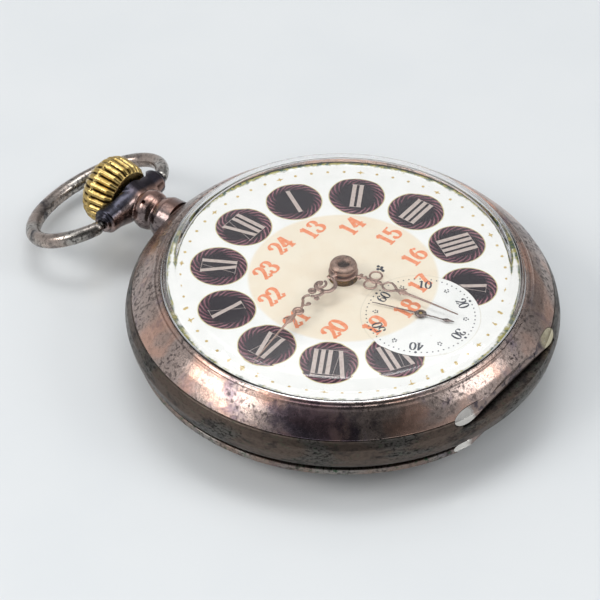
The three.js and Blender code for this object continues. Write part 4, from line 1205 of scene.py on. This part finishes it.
def build_minute_hand():
    low, high = minute_z
    z, tall = (low + high) / 2, (high - low) / 2 + 0.03
    shapes = [
        lathe(rounded([(0.83, 12.72), (1.42, 12.72, 0.1), (1.45, 13.1, 0.1), (1.62, 13.22, 0.08),
                       (1.62, high, 0.08),
                       (0.83, high)]), 64),
        wire([(1.4, 0), (1.9, 0), (2.5, 0.0)], 0.32, tall, z, 0.2),
        wire(arc(2.55, 0.0, 0.1, 0.5, 90, -90, 8), 0.12, tall, z),
        wire([(2.5, 0)] + spiral(4.15, -0.02, 1.55, 0.95, 168, 20, 20), 0.2, tall, z, 0.34),
        wire(spiral(4.15, -0.2, 0.95, 0.5, 35, -150, 20), 0.34, tall, z, 0.16),
        wire(spiral(4.15, -0.5, 0.75, 0.3, 165, -200, 28), 0.17, tall, z, 0.12),
        ball(4.15, -0.5, 0.32, tall, z),
        wire([(5.0, 0.45), (5.35, 0.62), (5.8, 0.5), (6.2, 0.2), (6.45, -0.2)], 0.27, tall, z, 0.17),
        ring(5.68, -0.6, 0.36, 0.15, tall, z),
        ball(5.68, -0.6, 0.2, tall, z),
        ball(6.45, 0.56, 0.34, tall, z),
        wire([(6.05, 0.42), (6.3, 0.5)], 0.1, tall, z),
        wire(spiral(7.0, -0.1, 0.62, 0.78, 215, 330, 12) + [(8.0, -0.35), (8.4, -0.1), (8.9, 0)], 0.16, tall,
             z, 0.17),
        wire([(8.2, -0.25), (8.15, 0.12), (7.95, 0.3), (7.72, 0.3)], 0.1, tall, z),
        ball(7.72, 0.28, 0.31, tall, z),
        ring(9.43, 0, 0.46, 0.24, tall, z),
        ball(9.43, 0, 0.3, tall * 0.8, z),
        wire([(9.8, 0), (10.1, 0), (10.6, 0), (11.2, 0), (12, 0), (13.4, 0), (15, 0), (16.6, 0), (18.55, 0)],
             0.24,
             tall, z, 0.05),
        wire([(10.2, 0.05), (10.6, 0.22), (11.3, 0.78)], 0.14, tall, z, 0.05),
        wire([(10.2, -0.05), (10.6, -0.22), (11.35, -0.72)], 0.14, tall, z, 0.05),
        wire([(10.5, 0.1), (11.3, 0.3), (11.75, 0.05)], 0.13, tall, z),
        wire([(10.5, -0.1), (11.3, -0.3), (11.75, -0.05)], 0.13, tall, z),
    ]
    hand = aimed(drooped(merged(shapes), 10.5, 18.6, 1.05), 267 / 30)
    dress(made("minute_hand_ornate", hand), "minute_works", rose_metal, "rose_hands", "minute_hand")


def build_hour_hand():
    low, high = hour_z
    z, tall = (low + high) / 2, (high - low) / 2 + 0.02
    shapes = [
        lathe(rounded([(1.28, low - 0.12), (1.72, low - 0.1, 0.08), (1.76, high, 0.1), (1.28, high + 0.02)]),
              64),
        wire([(1.7, 0), (2.3, 0.05), (2.9, 0.1), (3.6, 0.15), (4.5, 0.15), (5.2, 0.05)], 0.2, tall, z, 0.15),
        ball(2.2, 0.38, 0.24, tall, z), ball(2.25, -0.28, 0.22, tall, z), ball(2.8, 0.3, 0.2, tall, z),
        ball(3.15, 0.02, 0.26, tall, z),
        ring(3.86, -0.62, 0.72, 0.13, tall, z),
        ring(3.75, 1.05, 0.72, 0.13, tall, z),
        wire([(3.0, 0.15), (3.5, -0.05), (4.1, -0.1), (4.6, 0.1)], 0.16, tall, z),
        ball(4.62, 0.2, 0.3, tall, z), ball(5.0, 0.05, 0.2, tall, z),
        wire([(5.1, 0.1), (5.5, 0.72), (6.0, 0.82), (6.5, 0.55), (6.95, 0.1)], 0.12, tall, z, 0.18),
        wire([(5.1, 0.0), (5.5, -0.48), (6.0, -0.62), (6.5, -0.42), (6.95, -0.02)], 0.12, tall, z, 0.18),
        wire([(6.8, 0.03), (7.3, 0.03), (8, 0), (9, 0), (10, 0), (11.5, 0), (13, 0), (14.9, 0)], 0.26, tall,
             z, 0.06),
        wire([(7.0, 0.1), (7.5, 0.3), (7.95, 0.72)], 0.16, tall, z, 0.06),
        wire([(7.0, -0.05), (7.4, -0.2), (7.75, -0.5)], 0.16, tall, z, 0.06),
        wire([(7.2, 0.12), (8.0, 0.26), (8.5, 0.03)], 0.12, tall, z),
        wire([(7.2, -0.12), (8.0, -0.24), (8.5, -0.03)], 0.12, tall, z),
    ]
    hand = aimed(drooped(merged(shapes), 8.5, 14.95, 0.33), 171.5 / 30)
    dress(made("hour_hand_ornate", hand), "hour_works", rose_metal, "rose_hands", "hour_hand")


def build_seconds_hand():
    low, high = second_z
    z, tall = (low + high) / 2, (high - low) / 2
    shapes = [
        lathe(rounded([(0.27, low), (0.66, low, 0.03), (0.68, high - 0.02, 0.03), (0.45, high + 0.12, 0.05),
                       (0.27, high + 0.12)]), 40),
        wire([(0.5, 0), (2.5, 0), (5.9, 0)], 0.14, tall, z, 0.05),
        wire([(-0.5, 0), (-1.6, 0), (-2.6, 0)], 0.12, tall, z, 0.09),
        wire([(-2.55, 0), (-2.85, 0), (-3.1, 0)], 0.08, tall, z, 0.36),
        wire([(-3.05, 0), (-3.4, 0), (-4.05, 0)], 0.36, tall, z, 0.04),
    ]
    hand = aimed(merged(shapes), 343 / 30, seconds_y)
    dress(made("seconds_hand_spear", hand), "fourth", dark_steel, "blued_steel", "seconds_hand")


def build_hub():
    """The cannon pinion, with the dimpled boss that shows in the middle of the hands. The middle of the
    dimple is painted dark as the shade of a hole.
    """
    low, high = span("cannon_pinion")
    base = minute_z[1] + 0.03
    profile = rounded([(0.53, low.z), (0.8, low.z, 0.05), (0.8, base), (1.52, base, 0.06),
                       (1.55, base + 0.12, 0.1),
                       (1.42, high.z - 0.1, 0.1), (1.2, high.z, 0.08), (0.85, high.z, 0.06),
                       (0.6, high.z - 0.42, 0.1), (0, high.z - 0.46), (0, 12.7), (0.53, 12.7)], closed=False)
    teeth = []
    for i in range(10):
        a = TURN * i / 10
        tooth = slab([(0.7, -0.2), (1.4, -0.07), (1.4, 0.07), (0.7, 0.2)], low.z, low.z + 0.38)
        teeth.append(tooth.moved(Matrix.Rotation(a, 4, "Z")))
    piece = made("hub_boss", merged([lathe(profile, 64), *teeth]))
    look = Look("hub_rose", Metallic=1.0)
    wear, fine = look.noise(1.1, 6, 0.65), look.noise(5.0, 4, 0.6)
    tone = look.mix(look.ease(wear, 0.4, 0.66), (0.42, 0.29, 0.235), (0.22, 0.15, 0.12))
    tone = look.mix(look.ease(fine, 0.52, 0.66, 0.0, 0.7), tone, (0.05, 0.035, 0.03))
    # Painted shade: the middle of the boss is painted near black, as the shade of a hole.
    painted_hole_shade = look.ease(look.plus(look.radius(), look.times(wear, 0.3)), 0.92, 0.7)
    metal = look.finished(look.mix(painted_hole_shade, tone, (0.06, 0.042, 0.035)), look.ease(wear, 0.3, 0.7, 0.34, 0.5),
                          fine, 0.012)
    dress(piece, "minute_works", metal, "rose_hands", "cannon_pinion")


# ---- movement -----------------------------------------------------------------------------------

NODE_LOOKS = {
    "train_bridge": nickel, "barrel_bridge": nickel, "balance_cock": nickel, "main_plate": plate_nickel,
    "pallet_cock": nickel, "mainspring_barrel": brass, "barrel_cover": brass, "centre_wheel": brass,
    "third_wheel": brass, "fourth_wheel": brass, "balance_wheel": brass, "hour_wheel": brass,
    "minute_wheel": brass, "hairspring": blued, "mainspring": blued,
}


def ruby():
    look = Look("ruby", IOR=1.76)
    cloud = look.noise(1.5, 4, 0.6)
    return look.finished(look.mix(look.ease(cloud, 0.4, 0.7), (0.42, 0.012, 0.05), (0.25, 0.006, 0.03)),
                         look.ease(cloud, 0.3, 0.7, 0.05, 0.12))


def dress_movement():
    red = ruby()
    replaced = {n for o in bpy.data.objects for n in o.get("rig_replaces", [])}
    for name, node in frame["nodes"].items():
        if name in replaced:
            continue
        look = NODE_LOOKS.get(name, steel)
        if name.endswith("jewel"):
            look = red
        elif "screw" in name and not name.startswith("case_screw"):
            look = blued
        node.data.materials.clear()
        node.data.materials.append(look)


# ---- studio -------------------------------------------------------------------------------------


def floor():
    look = Look("table", IOR=1.45)
    grain = look.noise(0.05, 3, 0.5)
    look.set(**{"Base Color": look.mix(look.ease(grain, 0.35, 0.7), (0.71, 0.735, 0.747),
                                       (0.69, 0.718, 0.733)),
                "Roughness": look.ease(grain, 0.3, 0.7, 0.14, 0.2)})
    tree = look.tree
    clear = tree.nodes.new("ShaderNodeBsdfTransparent")
    side = tree.nodes.new("ShaderNodeNewGeometry")
    chooser = tree.nodes.new("ShaderNodeMixShader")
    output = next(n for n in tree.nodes if n.type == "OUTPUT_MATERIAL")
    tree.links.new(side.outputs["Backfacing"], chooser.inputs[0])
    tree.links.new(look.shader.outputs[0], chooser.inputs[1])
    tree.links.new(clear.outputs[0], chooser.inputs[2])
    tree.links.new(chooser.outputs[0], output.inputs["Surface"])
    mesh = bpy.data.meshes.new("table")
    half = 3.0
    mesh.from_pydata([(-half, -half, 0), (half, -half, 0), (half, half, 0), (-half, half, 0)], [],
                     [(0, 1, 2, 3)])
    mesh.materials.append(look.material)
    table = bpy.data.objects.new("table", mesh)
    bpy.context.scene.collection.objects.link(table)


# Colour of the room at each height, as the upward part of the direction.
SKY = [(0.0, (1.0, 1.01, 1.03)), (0.75, (0.40, 0.41, 0.43)), (0.95, (2.6, 2.62, 2.66)), (1.0, (1, 1, 1))]
SKY_STRENGTH = 0.8

# Darker parts of the room: azimuth, elevation, the cosines where the shade is full and where it ends, and
# the share of light that is left.
DARK_SKY = [(-142, 50, 0.93, 0.62, 0.10), (-5, 4, 0.97, 0.82, 0.35)]


def heading(azimuth, elevation):
    """A direction from an azimuth measured from +X towards +Y and a height above the floor, in degrees."""
    a, e = math.radians(azimuth), math.radians(elevation)
    return Vector((math.cos(a) * math.cos(e), math.sin(a) * math.cos(e), math.sin(e)))


def lamp(name, azimuth, elevation, distance, width, height, power, colour=(1, 1, 1), mirrored=True):
    """A soft box that faces the watch."""
    data = bpy.data.lights.new(name, "AREA")
    data.shape = "RECTANGLE"
    data.size, data.size_y, data.energy, data.color = width, height, power, colour
    light = bpy.data.objects.new(name, data)
    aim = heading(azimuth, elevation)
    light.location = aim * distance
    light.visible_glossy = mirrored
    light.rotation_mode = "QUATERNION"
    light.rotation_quaternion = aim.to_track_quat("Z", "Y")
    bpy.context.scene.collection.objects.link(light)


def studio():
    world = bpy.data.worlds.new("studio")
    world.use_nodes = True
    tree = world.node_tree
    background = next(n for n in tree.nodes if n.type == "BACKGROUND")
    coordinates = tree.nodes.new("ShaderNodeTexCoord")
    parts = tree.nodes.new("ShaderNodeSeparateXYZ")
    ramp = tree.nodes.new("ShaderNodeValToRGB")
    tree.links.new(coordinates.outputs["Generated"], parts.inputs[0])
    tree.links.new(parts.outputs[2], ramp.inputs[0])
    stops = ramp.color_ramp.elements
    for _ in SKY[2:]:
        stops.new(0.5)
    for stop, (height, colour) in zip(stops, SKY):
        stop.position = height
        stop.color = (*colour, 1)
    light = ramp.outputs[0]
    for azimuth, elevation, inner, outer, least in DARK_SKY:
        towards = tree.nodes.new("ShaderNodeVectorMath")
        towards.operation = "DOT_PRODUCT"
        tree.links.new(coordinates.outputs["Generated"], towards.inputs[0])
        towards.inputs[1].default_value = heading(azimuth, elevation)
        shade = tree.nodes.new("ShaderNodeMapRange")
        shade.interpolation_type = "SMOOTHSTEP"
        for socket, value in (("From Min", inner), ("From Max", outer), ("To Min", least), ("To Max", 1.0)):
            shade.inputs[socket].default_value = value
        tree.links.new(towards.outputs["Value"], shade.inputs["Value"])
        dim = tree.nodes.new("ShaderNodeVectorMath")
        dim.operation = "SCALE"
        tree.links.new(light, dim.inputs[0])
        tree.links.new(shade.outputs["Result"], dim.inputs["Scale"])
        light = dim.outputs[0]
    tree.links.new(light, background.inputs[0])
    background.inputs[1].default_value = SKY_STRENGTH
    bpy.context.scene.world = world
    lamp("top_box", 40, 76, 1.0, 0.5, 0.34, 1.5)
    lamp("front_fill", -142, 44, 1.0, 0.7, 0.5, 2.6, mirrored=False)
    lamp("left_box", 147, 40, 0.8, 0.42, 0.30, 2.3, (1, 0.975, 0.95))
    lamp("right_box", -60, 40, 0.9, 0.34, 0.26, 1.1)
    bpy.context.scene.view_settings.view_transform = "Standard"


VIEW_ANGLES = (-53.255, 42.126, 0.271)    # turn, height and roll of the camera, in degrees
VIEW_CENTRE = (-6.04, 1.79)               # the point of the dial that it aims at
VIEW_DISTANCE = 371.04
LENS, SENSOR = 191.4, 36


def camera():
    """The view from the lower left of the dial."""
    azimuth, elevation, roll = (math.radians(v) for v in VIEW_ANGLES)
    target = Vector((*VIEW_CENTRE, dial_z))
    back = Vector((math.sin(azimuth) * math.cos(elevation), -math.cos(azimuth) * math.cos(elevation),
                   math.sin(elevation)))
    level = Vector((math.cos(azimuth), math.sin(azimuth), 0))
    upright = back.cross(level)
    right = level * math.cos(roll) + upright * math.sin(roll)
    above = upright * math.cos(roll) - level * math.sin(roll)
    data = bpy.data.cameras.new("camera")
    data.sensor_width = SENSOR
    data.lens = LENS
    data.clip_start, data.clip_end = 0.01, 20
    eye = bpy.data.objects.new("camera", data)
    place = (target + back * VIEW_DISTANCE) * MM
    eye.matrix_world = Matrix.Translation(place) @ Matrix((right, above, back)).transposed().to_4x4()
    bpy.context.scene.collection.objects.link(eye)
    bpy.context.scene.camera = eye


for step in (build_case, build_bezel, build_covers, build_crystal, build_pendant, build_bow, build_crown,
             build_dial, build_minute_hand, build_hour_hand, build_seconds_hand, build_hub, dress_movement,
             floor, studio, camera):
    step()
